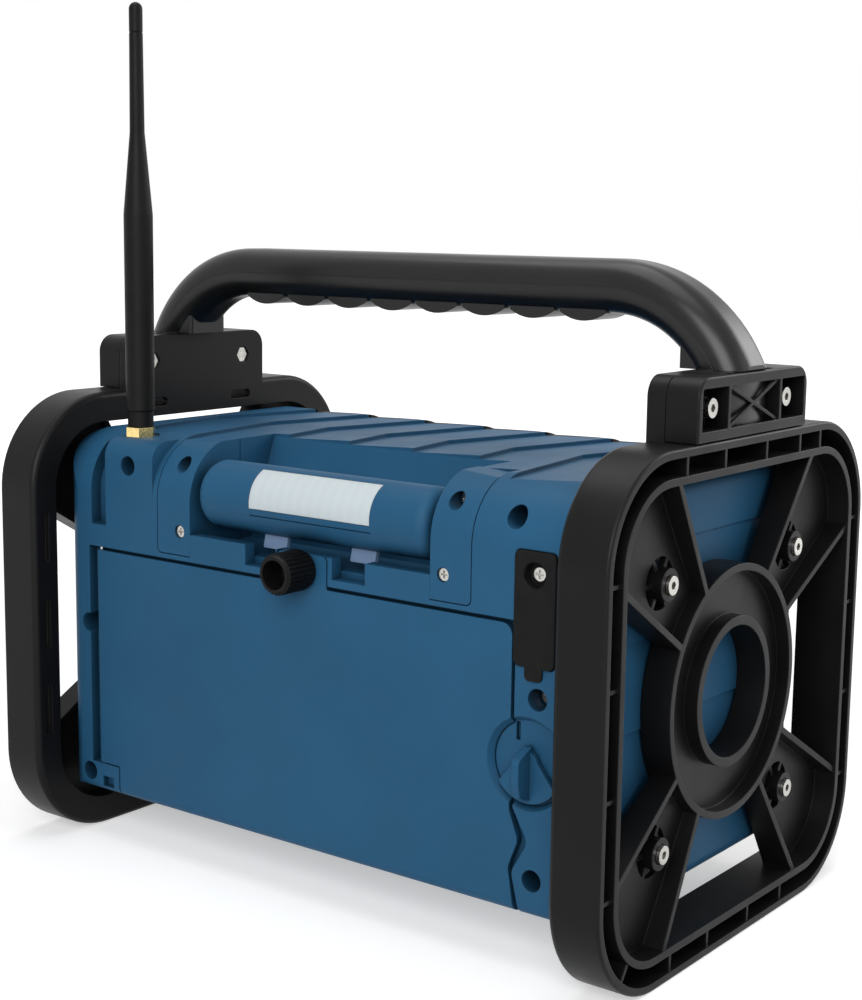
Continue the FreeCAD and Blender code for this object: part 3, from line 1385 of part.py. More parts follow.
def cover_space(grow):
    """Outline of the port cover on the rear face, grown by a clearance."""
    return rounded_box(
        "y",
        COVER_RIGHT - grow,
        COVER_LEFT + grow,
        COVER_BOTTOM - grow,
        COVER_TOP + grow,
        COVER_CORNER,
        HOUSING_REAR - COVER_SUNK,
        HOUSING_REAR + COVER_THICKNESS,
    )


def rear_housing_additions(outer):
    """Thick wall, bay walls, posts and bosses inside the rear shell."""
    half = HOUSING_HALF_WIDTH - HOUSING_WALL
    parts = [block(-half, half, THICK_INNER, FAR, HOUSING_BOTTOM, DOOR_TAB_TOP + DOOR_CORNER)]
    wall = HOUSING_WALL
    parts.append(prism("x", bay_outline(wall), -BAY_HALF_WIDTH - wall, BAY_HALF_WIDTH + wall))
    for side in (-1, 1):
        parts.append(cheek_space(side, wall))
        parts.append(notch(side, wall))
    cover = block(
        COVER_RIGHT - wall, COVER_LEFT + wall, THICK_INNER, FAR, COVER_BOTTOM, COVER_TOP + wall
    )
    parts.append(cover)
    groove = block(
        HUMP_LEFT - wall, GROOVE_LEFT + wall, HOUSING_REAR - REAR_TOP_ROUND, FAR, GROOVE_BOTTOM - wall, FAR
    )
    parts.append(groove)
    socket = rod("z", (ANTENNA_X, ANTENNA_Y), HUMP_TOP - ANTENNA_BUSH_LENGTH, HUMP_TOP, ANTENNA_BOSS_RADIUS)
    parts.append(socket)
    for centre in HOUSING_SCREWS:
        parts.append(rod("y", centre, SEAM_Y, FAR, SCREW_POST))
    parts.append(rod("y", RIGHT_MID_SCREW, BRACKET_Y, FAR, SCREW_POST))
    for centre in GUARD_SCREWS:
        start = HOUSING_HALF_WIDTH - GUARD_SCREW_GRIP - wall
        parts.extend(both_ends(rod("x", centre, start, HOUSING_HALF_WIDTH, SCREW_POST)))
    boss = INSERT_RADIUS + INSERT_BOSS_WALL
    parts.append(rod("y", (THUMB_X, THUMB_Z), DOOR_SEAT - THUMB_REACH - wall, DOOR_SEAT, boss))
    return [part.common(outer) for part in parts]


def guard_screw_bores():
    """Pilot bores of the guard screws in the ends of the housing."""
    bores = []
    for centre in GUARD_SCREWS:
        start = HOUSING_HALF_WIDTH - GUARD_SCREW_GRIP - GAP
        bore = rod("x", centre, start, HOUSING_HALF_WIDTH + GAP, GUARD_SCREW_RADIUS + SCREW_FIT)
        bores.extend(both_ends(bore))
    return bores


def rear_housing_cuts():
    """All openings, recesses and bores of the rear shell."""
    cuts = [prism("x", bay_outline(0), -BAY_HALF_WIDTH, BAY_HALF_WIDTH)]
    for side in (-1, 1):
        cuts.append(notch(side, 0))
        cuts.append(cheek_space(side, CHEEK_GAP))
        cheek_centre = (side * CHEEK_SCREW_X, CHEEK_SCREW_Z)
        hole_centre = (side * CHEEK_HOLE_X, CHEEK_HOLE_Z)
        for centre in (cheek_centre, hole_centre):
            start = CHEEK_BACK_Y - CHEEK_GAP - HOUSING_WALL - CHEEK_SCREW_BITE
            cuts.append(rod("y", centre, start, CHEEK_BACK_Y, CHEEK_SCREW_RADIUS + SCREW_FIT))
    recess = rounded_prism(
        "y", door_outline(1, DOOR_HINGE_GAP, BOTTOM_ROUND), DOOR_SEAT, HOUSING_REAR + GAP
    )
    keep = rod("y", (LATCH_X, LATCH_Z), DOOR_SEAT - GAP, DISH_FLOOR, LATCH_DISH)
    cuts.append(recess.cut(keep))
    trench = block(
        HINGE_X - HINGE_RADIUS - HINGE_TRENCH_GAP,
        DOOR_LEFT + DOOR_HINGE_GAP,
        HINGE_Y - HINGE_RADIUS - HINGE_TRENCH_GAP,
        HOUSING_REAR,
        DOOR_STEP_Z - DOOR_GAP,
        DOOR_TOP + DOOR_SIDE_GAP,
    )
    cuts.append(trench)
    window = rounded_box(
        "y",
        -BATTERY_HALF_WIDTH,
        BATTERY_HALF_WIDTH,
        BATTERY_CENTRE_Z - BATTERY_HALF_HEIGHT,
        BATTERY_CENTRE_Z + BATTERY_HALF_HEIGHT,
        BATTERY_CORNER,
        THICK_INNER - GAP,
        HOUSING_REAR,
    )
    cuts.append(window)
    groove_floor = DOOR_SEAT - DOOR_SEAL_TALL + DOOR_SEAT_GAP - DOOR_SEAL_GAP
    cuts.append(seal_ring(SCREW_FIT, groove_floor, DOOR_SEAT + GAP))
    cuts.extend(latch_dish_cuts())
    cuts.append(cover_space(GAP))
    cover_screw = cover_screw_centre()
    cuts.append(rod("y", cover_screw, THICK_INNER, HOUSING_REAR, COVER_SCREW_RADIUS + SCREW_FIT))
    cup_end = cover_screw_seat() - COVER_CUP_FLOOR - GAP
    cuts.append(rod("y", cover_screw, cup_end, FAR, COVER_CUP_RADIUS + GAP))
    middle = (COVER_LEFT + COVER_RIGHT) / 2
    port = block(
        middle - PORT_WINDOW_HALF,
        middle + PORT_WINDOW_HALF,
        THICK_INNER - GAP,
        HOUSING_REAR,
        PORT_WINDOW_BOTTOM,
        PORT_WINDOW_TOP,
    )
    cuts.append(port)
    cuts.append(tall_groove())
    for centre in HOUSING_SCREWS:
        cuts.append(rod("y", centre, SCREW_HEAD_Y, FAR, SCREW_RECESS))
        cuts.append(rod("y", centre, SEAM_Y - GAP, SCREW_HEAD_Y + GAP, SCREW_RADIUS + CLEARANCE_HOLE))
    cuts.append(rod("y", RIGHT_MID_SCREW, BRACKET_SCREW_HEAD_Y, FAR, SCREW_RECESS))
    cuts.append(rod("y", RIGHT_MID_SCREW, BRACKET_Y - GAP, FAR, SCREW_RADIUS + CLEARANCE_HOLE))
    insert = (THUMB_X, THUMB_Z)
    insert_end = insert_start() - GAP
    cuts.append(rod("y", insert, insert_end, DOOR_SEAT + GAP, INSERT_RADIUS + SCREW_FIT))
    cuts.append(rod("y", insert, DOOR_SEAT - THUMB_REACH - 2 * GAP, DOOR_SEAT, INSERT_BORE))
    clip_room = THUMB_CLIP_RADIUS + THUMB_CLIP_ROOM
    cuts.append(rod("y", insert, DOOR_SEAT - 2 * THUMB_CLIP, DOOR_SEAT + GAP, clip_room))
    socket = (ANTENNA_X, ANTENNA_Y)
    bush_end = HUMP_TOP - ANTENNA_BUSH_LENGTH - GAP
    cuts.append(rod("z", socket, bush_end, HUMP_TOP + GAP, ANTENNA_BUSH_RADIUS + SCREW_FIT))
    cuts.append(rod("z", socket, HUMP_TOP, FAR, ANTENNA_PAD))
    low_recess = block(
        LOW_RECESS_X - LOW_RECESS_SIZE / 2,
        LOW_RECESS_X + LOW_RECESS_SIZE / 2,
        HOUSING_REAR - LOW_RECESS_DEPTH,
        FAR,
        LOW_RECESS_Z - LOW_RECESS_TALL / 2,
        LOW_RECESS_Z + LOW_RECESS_TALL / 2,
    )
    cuts.append(low_recess)
    cuts.extend(guard_screw_bores())
    return cuts


def tall_groove():
    """Upright groove beside the antenna hump, following the rear-top rounding."""
    body = housing_form(GROOVE_DEPTH)
    space = rounded_box(
        "y", HUMP_LEFT, GROOVE_LEFT, GROOVE_BOTTOM, GROOVE_TOP, ROUND_EDGE, HOUSING_REAR - REAR_TOP_ROUND, FAR
    )
    return space.cut(body)


def rear_housing():
    """Blue rear shell."""
    outer = housing_form(0)
    outer = outer.fuse(hump())
    shell = outer.cut(housing_form(HOUSING_WALL))
    shell = shell.fuse(rear_housing_additions(outer))
    shell = shell.common(block(-FAR, FAR, SEAM_Y, FAR, 0, FAR))
    shell = shell.cut(rear_housing_cuts())
    shell = shell.cut(top_steps())
    shell = shell.cut(end_laps())
    return shell.cut(hinge_pins(HINGE_PIN_RADIUS + SCREW_FIT, GAP)).removeSplitter()


def front_housing():
    """Black front shell with loudspeaker, panel, button and shaft openings."""
    outer = housing_form(0)
    shell = outer.cut(housing_form(HOUSING_WALL))
    posts = []
    for centre in HOUSING_SCREWS:
        posts.append(rod("y", centre, HOUSING_FRONT, SEAL_Y, SCREW_POST))
    for x, z in board_posts():
        posts.append(rod("y", (x, z), HOUSING_FRONT, MAIN_BOARD_Y - BOARD_THICKNESS, BOARD_POST))
    shell = shell.fuse([post.common(outer) for post in posts])
    shell = shell.common(block(-FAR, FAR, -FAR, SEAL_Y, 0, FAR))
    cuts = []
    for centre in HOUSING_SCREWS:
        cuts.append(rod("y", centre, SCREW_END_Y - GAP, SEAM_Y, SCREW_RADIUS + SCREW_FIT))
    for x in SPEAKER_XS:
        cuts.append(rod("y", (x, SPEAKER_Z), HOUSING_FRONT - GAP, FRONT_INNER + GAP, SPEAKER_OPENING))
    cuts.append(display_cut(HOUSING_FRONT - GAP, FRONT_INNER + GAP, GAP))
    for x in BUTTON_XS:
        cuts.append(button_block(x, HOUSING_FRONT - GAP, FRONT_INNER + GAP, BUTTON_FLANGE + GAP))
    for x in KNOB_XS:
        cuts.append(rod("y", (x, KNOB_Z), HOUSING_FRONT - GAP, FRONT_INNER + GAP, ENCODER_BUSH + GAP))
    for x in SPEAKER_XS:
        for centre in speaker_screw_centres(x):
            bore = SPEAKER_SCREW_RADIUS + SCREW_FIT
            cuts.append(rod("y", centre, HOUSING_FRONT + HOUSING_WALL / 2, FRONT_INNER + GAP, bore))
    shell = shell.cut(cuts)
    shell = shell.cut(top_steps())
    return shell.cut(end_laps()).removeSplitter()


def housing_seal():
    """Rubber seal between the two shells."""
    ring = housing_form(SEAL_SET_BACK + STEP_DROP).cut(housing_form(HOUSING_WALL + STEP_DROP))
    ring = ring.common(block(-FAR, FAR, SEAL_Y, SEAM_Y, 0, FAR))
    return ring


def housing_screws():
    """Long screws in the deep holes of the rear face, and the short one of the socket bracket."""
    screws = []
    for centre in HOUSING_SCREWS:
        length = SCREW_HEAD_Y - SCREW_END_Y
        screws.append(cross_screw(centre, SCREW_HEAD_Y, SCREW_HEAD, SCREW_HEAD_TALL, SCREW_RADIUS, length))
    short = BRACKET_SCREW_HEAD_Y - BRACKET_Y + BRACKET_TAB - GAP
    seat = BRACKET_SCREW_HEAD_Y
    screws.append(cross_screw(RIGHT_MID_SCREW, seat, SCREW_HEAD, SCREW_HEAD_TALL, SCREW_RADIUS, short))
    return group(screws)


def lamp_cheek():
    """Cheek cover that carries one end of the lamp, at the +X side."""
    body = housing_form(0).common(cheek_space(1, 0))
    body = body.cut(top_steps())
    hollow = block(
        BAY_HALF_WIDTH + LAMP_PIN_LENGTH + HOUSING_WALL,
        CHEEK_OUTER - HOUSING_WALL,
        CHEEK_BACK_Y - GAP,
        HOUSING_REAR - HOUSING_WALL,
        CHEEK_BOTTOM + HOUSING_WALL,
        LAMP_Z + CHEEK_HOLLOW_RISE,
    )
    centre = (LAMP_Y, LAMP_Z)
    end = BAY_HALF_WIDTH + LAMP_PIN_LENGTH - LAMP_END_GAP + GAP
    cuts = [hollow, rod("x", centre, BAY_HALF_WIDTH - GAP, end, LAMP_PIN_RADIUS + SCREW_FIT)]
    small = (CHEEK_SCREW_X, CHEEK_SCREW_Z)
    large = (CHEEK_HOLE_X, CHEEK_HOLE_Z)
    hole = CHEEK_SCREW_RADIUS + CLEARANCE_HOLE
    for centre in (small, large):
        cuts.append(rod("y", centre, CHEEK_BACK_Y - GAP, FAR, hole))
    cuts.append(rod("y", small, cheek_screw_seat(), FAR, CHEEK_SCREW_HEAD + GAP))
    cuts.append(rod("y", large, HOUSING_REAR - CHEEK_HOLE_DEPTH, FAR, CHEEK_HOLE_RADIUS))
    return body.cut(cuts)


def cheek_screw_seat():
    """Level on which the head of the small cheek screw sits."""
    return HOUSING_REAR - CHEEK_SCREW_SUNK - CHEEK_SCREW_HEAD_TALL


def cheek_screws():
    """Small cross-head screws of the cheeks, two in each."""
    screws = []
    end = CHEEK_BACK_Y - CHEEK_SCREW_BITE
    for side in (-1, 1):
        seat = cheek_screw_seat()
        centre = (side * CHEEK_SCREW_X, CHEEK_SCREW_Z)
        screws.append(
            cross_screw(centre, seat, CHEEK_SCREW_HEAD, CHEEK_SCREW_HEAD_TALL, CHEEK_SCREW_RADIUS, seat - end)
        )
        seat = HOUSING_REAR - CHEEK_HOLE_DEPTH
        centre = (side * CHEEK_HOLE_X, CHEEK_HOLE_Z)
        screws.append(
            cross_screw(centre, seat, CHEEK_SCREW_HEAD, CHEEK_SCREW_HEAD_TALL, CHEEK_SCREW_RADIUS, seat - end)
        )
    return group(screws)


def lamp_sector(spread, half_length):
    """Wedge from the lamp axis that takes in an arc about its aim."""
    reach = 2 * LAMP_RADIUS
    points = [(LAMP_Y, LAMP_Z)]
    for step in range(5):
        angle = math.radians(LAMP_AIM - spread / 2 + spread * step / 4)
        points.append((LAMP_Y + reach * math.cos(angle), LAMP_Z + reach * math.sin(angle)))
    return prism("x", points, LAMP_WINDOW_CENTRE - half_length, LAMP_WINDOW_CENTRE + half_length)


def tab_plate(side, inner, outer, grow):
    """Flat finger tab that stands out of the lamp tube, grown by a clearance."""
    x = side * TAB_OFFSET
    half = TAB_WIDTH / 2 + grow
    thick = TAB_THICKNESS / 2 + grow
    plate = rounded_box(
        "z", x - half, x + half, inner, outer, ROUND_EDGE, LAMP_Z - thick, LAMP_Z + thick
    )
    return about_lamp(plate, TAB_ANGLE)


def lamp_tube():
    """Blue lamp tube with end pins, window, inner floor and slots for the tabs."""
    centre = (LAMP_Y, LAMP_Z)
    body = rod("x", centre, -LAMP_HALF, LAMP_HALF, LAMP_RADIUS)
    body = soften(body, LAMP_HALF, LAMP_END_ROUND)
    body = soften(body, -LAMP_HALF, LAMP_END_ROUND)
    inner_half = LAMP_HALF - 2 * LAMP_WALL
    hollow = rod("x", centre, -inner_half, inner_half, LAMP_RADIUS - LAMP_WALL)
    floor = block(
        -inner_half,
        inner_half,
        LAMP_Y + LAMP_FLOOR_OFFSET - LAMP_FLOOR,
        LAMP_Y + LAMP_FLOOR_OFFSET,
        LAMP_Z - LAMP_RADIUS,
        LAMP_Z + LAMP_RADIUS,
    )
    hollow = hollow.cut(about_lamp(floor, LAMP_AIM))
    half_window = LAMP_WINDOW_LENGTH / 2
    core = rod("x", centre, -FAR, FAR, LAMP_RADIUS / 2)
    cuts = [hollow, lamp_sector(LAMP_WINDOW_SPREAD, half_window).cut(core)]
    seam = block(
        LAMP_WINDOW_CENTRE - half_window,
        LAMP_WINDOW_CENTRE + half_window,
        LAMP_Y + LAMP_RADIUS - LAMP_SEAM,
        LAMP_Y + LAMP_RADIUS + LAMP_SEAM,
        LAMP_Z - LAMP_SEAM / 2,
        LAMP_Z + LAMP_SEAM / 2,
    )
    cuts.append(about_lamp(seam, LAMP_SEAM_ANGLE))
    root = LAMP_Y + LAMP_RADIUS - TAB_ROOT
    for side in (-1, 1):
        cuts.append(tab_plate(side, root - SCREW_FIT, root + LAMP_RADIUS, SCREW_FIT))
    body = body.cut(cuts)
    pins = []
    for side in (-1, 1):
        start = side * (LAMP_HALF - OVERLAP)
        pins.append(rod("x", centre, start, side * (LAMP_HALF + LAMP_PIN_LENGTH), LAMP_PIN_RADIUS))
    return union([body] + pins)


def lamp_diffuser():
    """White curved window of the lamp."""
    centre = (LAMP_Y, LAMP_Z)
    spread = LAMP_WINDOW_SPREAD - 2 * math.degrees(LAMP_WINDOW_GAP / LAMP_RADIUS)
    half = LAMP_WINDOW_LENGTH / 2 - LAMP_WINDOW_GAP
    skin = tube("x", centre, -LAMP_HALF, LAMP_HALF, LAMP_RADIUS, LAMP_RADIUS - LAMP_WALL)
    return skin.common(lamp_sector(spread, half))


def led_board():
    """Board with a row of light-emitting chips on the inner floor of the lamp."""
    x0 = LAMP_WINDOW_CENTRE - LAMP_WINDOW_LENGTH / 2
    x1 = LAMP_WINDOW_CENTRE + LAMP_WINDOW_LENGTH / 2
    y = LAMP_Y + LAMP_FLOOR_OFFSET
    half = LED_BOARD_WIDTH / 2
    board = block(x0, x1, y, y + LED_BOARD, LAMP_Z - half, LAMP_Z + half)
    chips = []
    pitch = LAMP_WINDOW_LENGTH / LED_COUNT
    top = y + LED_BOARD
    size = LED_SIZE / 2
    for i in range(LED_COUNT):
        x = x0 + pitch * (i + 0.5)
        for z in (LAMP_Z - half / 2, LAMP_Z + half / 2):
            chips.append(block(x - size, x + size, top, top + LED_TALL, z - size, z + size))
    return about_lamp(union([board] + chips), LAMP_AIM)


def lamp_tabs():
    """Two translucent finger tabs under the lamp."""
    root = LAMP_Y + LAMP_RADIUS - TAB_ROOT
    tip = LAMP_Y + LAMP_RADIUS + TAB_REACH
    return group([tab_plate(side, root, tip, 0) for side in (-1, 1)])


def thumb_screw():
    """Knurled hollow thumb screw with its plain shank."""
    centre = (THUMB_X, THUMB_Z)
    start = HOUSING_REAR + GAP
    end = start + THUMB_LENGTH
    rim = end - THUMB_LIP
    grip = fluted_rod("y", centre, start + THUMB_BASE, rim, THUMB_RADIUS, THUMB_FLUTE, THUMB_FLUTES)
    base = rod("y", centre, start, start + THUMB_BASE, THUMB_RADIUS - THUMB_FLUTE)
    lip = cone("y", centre, rim, end, THUMB_RADIUS - THUMB_FLUTE, THUMB_RADIUS - 2 * THUMB_FLUTE)
    shank = rod("y", centre, DOOR_SEAT - THUMB_REACH, start, THUMB_SHANK)
    body = union([base, grip, lip, shank])
    return body.cut(rod("y", centre, end - THUMB_BORE_DEPTH, end + GAP, THUMB_BORE))


def thumb_clip():
    """Clip that keeps the thumb screw in the door."""
    centre = (THUMB_X, THUMB_Z)
    end = DOOR_INNER - GAP
    return tube("y", centre, end - THUMB_CLIP, end, THUMB_CLIP_RADIUS, THUMB_SHANK + SCREW_FIT)


def insert_start():
    """Inner end of the brass insert."""
    return DOOR_SEAT - 2 * THUMB_CLIP - INSERT_LENGTH


def thumb_insert():
    """Brass insert in the housing that takes the thumb screw."""
    centre = (THUMB_X, THUMB_Z)
    start = insert_start()
    return tube("y", centre, start, start + INSERT_LENGTH, INSERT_RADIUS, INSERT_BORE)


def wing_latch():
    """Quarter-turn latch: shield-shaped plate, fin and shaft."""
    centre = (LATCH_X, LATCH_Z)
    start = DISH_FLOOR + GAP
    end = start + LATCH_PLATE
    drop = LATCH_SHOULDER_DROP
    points = [
        (LATCH_X, LATCH_Z + LATCH_POINT),
        (LATCH_X + LATCH_SHOULDER_X, LATCH_Z - drop),
        (LATCH_X + LATCH_SHOULDER_X, LATCH_Z - 2 * LATCH_RADIUS),
        (LATCH_X - LATCH_SHOULDER_X, LATCH_Z - 2 * LATCH_RADIUS),
        (LATCH_X - LATCH_SHOULDER_X, LATCH_Z - drop),
    ]
    plate = prism("y", points, start, end).common(rod("y", centre, start, end, LATCH_RADIUS))
    hub = rod("y", centre, start, end, LATCH_SHAFT + LATCH_HUB_WALL)
    crest = end + LATCH_FIN_TALL
    low = LATCH_Z - LATCH_RADIUS + LATCH_FIN_FOOT
    high = LATCH_Z + LATCH_POINT
    profile = [
        (end - OVERLAP, low, 0),
        (crest - LATCH_FIN_STEP, low + LATCH_FIN_RISE, LATCH_FIN_ROUND / 2),
        (crest, low + LATCH_FIN_CREST, LATCH_FIN_ROUND),
        (crest, high - LATCH_FIN_FALL, LATCH_FIN_ROUND),
        (end - OVERLAP, high, 0),
    ]
    fin = rounded_prism("x", profile, LATCH_X - LATCH_FIN / 2, LATCH_X + LATCH_FIN / 2)
    shaft = rod("y", centre, start - LATCH_SHAFT_LENGTH, start, LATCH_SHAFT)
    return union([plate, hub, fin, shaft])


def latch_clip():
    """Clip on the latch shaft behind the wall."""
    centre = (LATCH_X, LATCH_Z)
    end = THICK_INNER - GAP
    return tube("y", centre, end - LATCH_CLIP, end, LATCH_CLIP_RADIUS, LATCH_SHAFT + SCREW_FIT)


def cover_screw_centre():
    """Place of the screw that holds the port cover."""
    return ((COVER_LEFT + COVER_RIGHT) / 2, COVER_SCREW_Z)


def port_cover_root():
    """Upper part of the rubber cover, held by one screw."""
    body = cover_space(0)
    body = body.common(block(-FAR, FAR, 0, COVER_FACE, COVER_HINGE_Z, FAR))
    centre = cover_screw_centre()
    seat = cover_screw_seat()
    cup = rod("y", centre, seat - COVER_CUP_FLOOR, COVER_FACE, COVER_CUP_RADIUS)
    cuts = [rod("y", centre, 0, FAR, COVER_SCREW_RADIUS + CLEARANCE_HOLE)]
    cuts.append(rod("y", centre, seat, FAR, COVER_RECESS_RADIUS))
    return union([body, cup]).cut(cuts)


def cover_screw_seat():
    """Level on which the port cover screw sits."""
    return COVER_FACE - COVER_SCREW_SUNK - COVER_SCREW_HEAD_TALL


def port_cover_flap():
    """Lower part of the rubber cover: it bends away from the sockets."""
    top = COVER_HINGE_Z - COVER_SPLIT
    outer = COVER_FACE
    body = cover_space(0).common(block(-FAR, FAR, 0, outer, 0, top))
    middle = (COVER_LEFT + COVER_RIGHT) / 2
    half = COVER_PULL_WIDTH / 2
    pull = rounded_box(
        "y",
        middle - half,
        middle + half,
        COVER_PULL_BOTTOM,
        COVER_BOTTOM + COVER_CORNER,
        ROUND_EDGE,
        HOUSING_REAR + GAP,
        outer,
    )
    plug_half = PORT_WINDOW_HALF - GAP * 2
    plug = block(
        middle - plug_half,
        middle + plug_half,
        HOUSING_REAR - COVER_SUNK - COVER_PLUG_DEPTH,
        HOUSING_REAR,
        PORT_WINDOW_BOTTOM + 3 * GAP,
        PORT_WINDOW_TOP - 3 * GAP,
    )
    return union([body, pull, plug])


def port_cover_screw():
    """Cross-head screw of the port cover."""
    return cross_screw(
        cover_screw_centre(),
        cover_screw_seat(),
        COVER_SCREW_HEAD,
        COVER_SCREW_HEAD_TALL,
        COVER_SCREW_RADIUS,
        COVER_SCREW_LENGTH - GAP * 4,
    )


def port_sockets():
    """Socket block behind the rubber cover: power, audio and service sockets."""
    middle = (COVER_LEFT + COVER_RIGHT) / 2
    half = PORT_WINDOW_HALF + PORT_BLOCK_WALL
    end = THICK_INNER
    start = end - PORT_BLOCK_DEPTH
    foot = PORT_WINDOW_BOTTOM - PORT_BLOCK_WALL
    body = block(middle - half, middle + half, start, end, foot, PORT_WINDOW_TOP + PORT_BLOCK_WALL)
    x, z = RIGHT_MID_SCREW
    reach = BRACKET_TAB_HALF
    tab = block(x - reach, x + reach, BRACKET_Y - BRACKET_TAB, BRACKET_Y, z - reach, foot)
    body = union([body, tab])
    window = PORT_WINDOW_TOP - PORT_WINDOW_BOTTOM
    step = window / 3
    low = PORT_WINDOW_BOTTOM + step / 2
    slot = rounded_box(
        "y",
        middle - SERVICE_SOCKET_HALF,
        middle + SERVICE_SOCKET_HALF,
        low + 2 * step - SERVICE_SOCKET_TALL / 2,
        low + 2 * step + SERVICE_SOCKET_TALL / 2,
        ROUND_EDGE,
        end - SERVICE_SOCKET_DEPTH,
        end,
    )
    cuts = [
        tube("y", (middle, low), end - POWER_SOCKET_DEPTH, end, POWER_SOCKET_RADIUS, POWER_SOCKET_PIN),
        rod("y", (middle, low + step), end - AUDIO_SOCKET_DEPTH, end, AUDIO_SOCKET_RADIUS),
        slot,
        rod("y", RIGHT_MID_SCREW, BRACKET_Y - BRACKET_TAB, BRACKET_Y, SCREW_RADIUS + SCREW_FIT),
    ]
    return body.cut(cuts)


def antenna_socket():
    """Brass hex connector with its bush through the hump."""
    centre = (ANTENNA_X, ANTENNA_Y)
    nut = polygon_rod("z", centre, HUMP_TOP, ANTENNA_NUT_TOP, ANTENNA_NUT_FLATS, turn=ANTENNA_NUT_TURN)
    bush = rod("z", centre, HUMP_TOP - ANTENNA_BUSH_LENGTH, HUMP_TOP, ANTENNA_BUSH_RADIUS)
    body = union([nut, bush])
    bottom = ANTENNA_NUT_TOP - ANTENNA_SHANK_LENGTH - GAP
    return body.cut(rod("z", centre, bottom, ANTENNA_NUT_TOP + GAP, ANTENNA_SHANK + SCREW_FIT))


def antenna_whip():
    """Rubber antenna: neck, sleeve, taper and thin tip."""
    start = ANTENNA_NUT_TOP + GAP
    line = ANTENNA_CAP_GROOVE
    profile = [
        (0, ANTENNA_NUT_TOP - ANTENNA_SHANK_LENGTH),
        (ANTENNA_SHANK, ANTENNA_NUT_TOP - ANTENNA_SHANK_LENGTH),
        (ANTENNA_SHANK, start),
        (ANTENNA_NECK, start),
        (ANTENNA_NECK, ANTENNA_NECK_TOP),
        (ANTENNA_RADIUS, ANTENNA_NECK_TOP + ANTENNA_RADIUS - ANTENNA_NECK),
        (ANTENNA_RADIUS, ANTENNA_TAPER_START),
        (ANTENNA_TIP_RADIUS + line, ANTENNA_TAPER_END),
        (ANTENNA_TIP_RADIUS, ANTENNA_CAP_LINE - line),
        (ANTENNA_TIP_RADIUS - line, ANTENNA_CAP_LINE),
        (ANTENNA_TIP_RADIUS, ANTENNA_CAP_LINE + line),
        (ANTENNA_TIP_RADIUS, ANTENNA_TOP - ANTENNA_TIP_RADIUS),
    ]
    corners = [Vector(ANTENNA_X + radius, ANTENNA_Y, height) for radius, height in profile]
    edges = [Part.makeLine(corners[i], corners[i + 1]) for i in range(len(corners) - 1)]
    centre = Vector(ANTENNA_X, ANTENNA_Y, ANTENNA_TOP - ANTENNA_TIP_RADIUS)
    diagonal = ANTENNA_TIP_RADIUS * math.sqrt(0.5)
    tip = Vector(ANTENNA_X, ANTENNA_Y, ANTENNA_TOP)
    edges.append(Part.Arc(corners[-1], centre + Vector(diagonal, 0, diagonal), tip).toShape())
    edges.append(Part.makeLine(tip, corners[0]))
    face = Part.Face(Part.Wire(edges))
    return face.revolve(Vector(ANTENNA_X, ANTENNA_Y, 0), Vector(0, 0, 1), 360)


def cell_centres():
    """X and Z of each cell in the bay."""
    centres = []
    for row in range(CELL_ROWS):
        z = BATTERY_CENTRE_Z + CELL_PITCH_Z * (row - (CELL_ROWS - 1) / 2)
        for column in range(CELL_COLUMNS):
            x = CELL_PITCH_X * (column - (CELL_COLUMNS - 1) / 2)
            centres.append((x, z))
    return centres


def battery_cells():
    """Six round cells lying in two rows."""
    cells = []
    for x, z in cell_centres():
        half = CELL_LENGTH / 2
        can = rod("x", (CELL_Y, z), x - half, x + half - CELL_CAP_TALL, CELL_RADIUS)
        cap = rod("x", (CELL_Y, z), x + half - CELL_CAP_TALL, x + half, CELL_CAP_RADIUS)
        cells.append(union([can, cap]))
    return group(cells)


def battery_bay():
    """Open box behind the door with cradles for the cells."""
    wide = BATTERY_HALF_WIDTH
    tall = BATTERY_HALF_HEIGHT
    low = BATTERY_CENTRE_Z - tall
    high = BATTERY_CENTRE_Z + tall
    wall = BATTERY_WALL
    body = block(-wide - wall, wide + wall, BATTERY_FLOOR_Y, THICK_INNER, low - wall, high + wall)
    flange = block(
        -wide - BATTERY_FLANGE,
        wide + BATTERY_FLANGE,
        THICK_INNER - wall,
        THICK_INNER,
        low - BATTERY_FLANGE,
        high + BATTERY_FLANGE,
    )
    inside = block(-wide, wide, BATTERY_FLOOR_Y + wall, THICK_INNER + GAP, low, high)
    body = union([body, flange]).cut(inside)
    cradles = []
    for x, z in cell_centres():
        for offset in (-CELL_LENGTH / 3, CELL_LENGTH / 3):
            start = x + offset - CRADLE_WALL / 2
            crest = BATTERY_FLOOR_Y + CRADLE_TALL
            cradles.append(block(start, start + CRADLE_WALL, BATTERY_FLOOR_Y, crest, low, high))
    drums = []
    for x, z in cell_centres():
        half = CELL_PITCH_X / 2
        drums.append(rod("x", (CELL_Y, z), x - half, x + half, CELL_RADIUS + CRADLE_GAP))
    cradles = [cradle.cut(drums) for cradle in cradles]
    return union([body] + cradles)


def battery_contacts():
    """Contact plates at both ends of each row."""
    plates = []
    reach = CELL_PITCH_X * (CELL_COLUMNS - 1) / 2 + CELL_LENGTH / 2
    for row in range(CELL_ROWS):
        z = BATTERY_CENTRE_Z + CELL_PITCH_Z * (row - (CELL_ROWS - 1) / 2)
        half = CONTACT_HEIGHT / 2
        for side in (-1, 1):
            inner = side * (BATTERY_HALF_WIDTH - CONTACT_THICKNESS)
            outer = side * BATTERY_HALF_WIDTH
            plate = block(inner, outer, CELL_Y - half, CELL_Y + half, z - half, z + half)
            dome = cone_between(side, reach + GAP, BATTERY_HALF_WIDTH - CONTACT_THICKNESS, z)
            plates.append(union([plate, dome]))
    return group(plates)


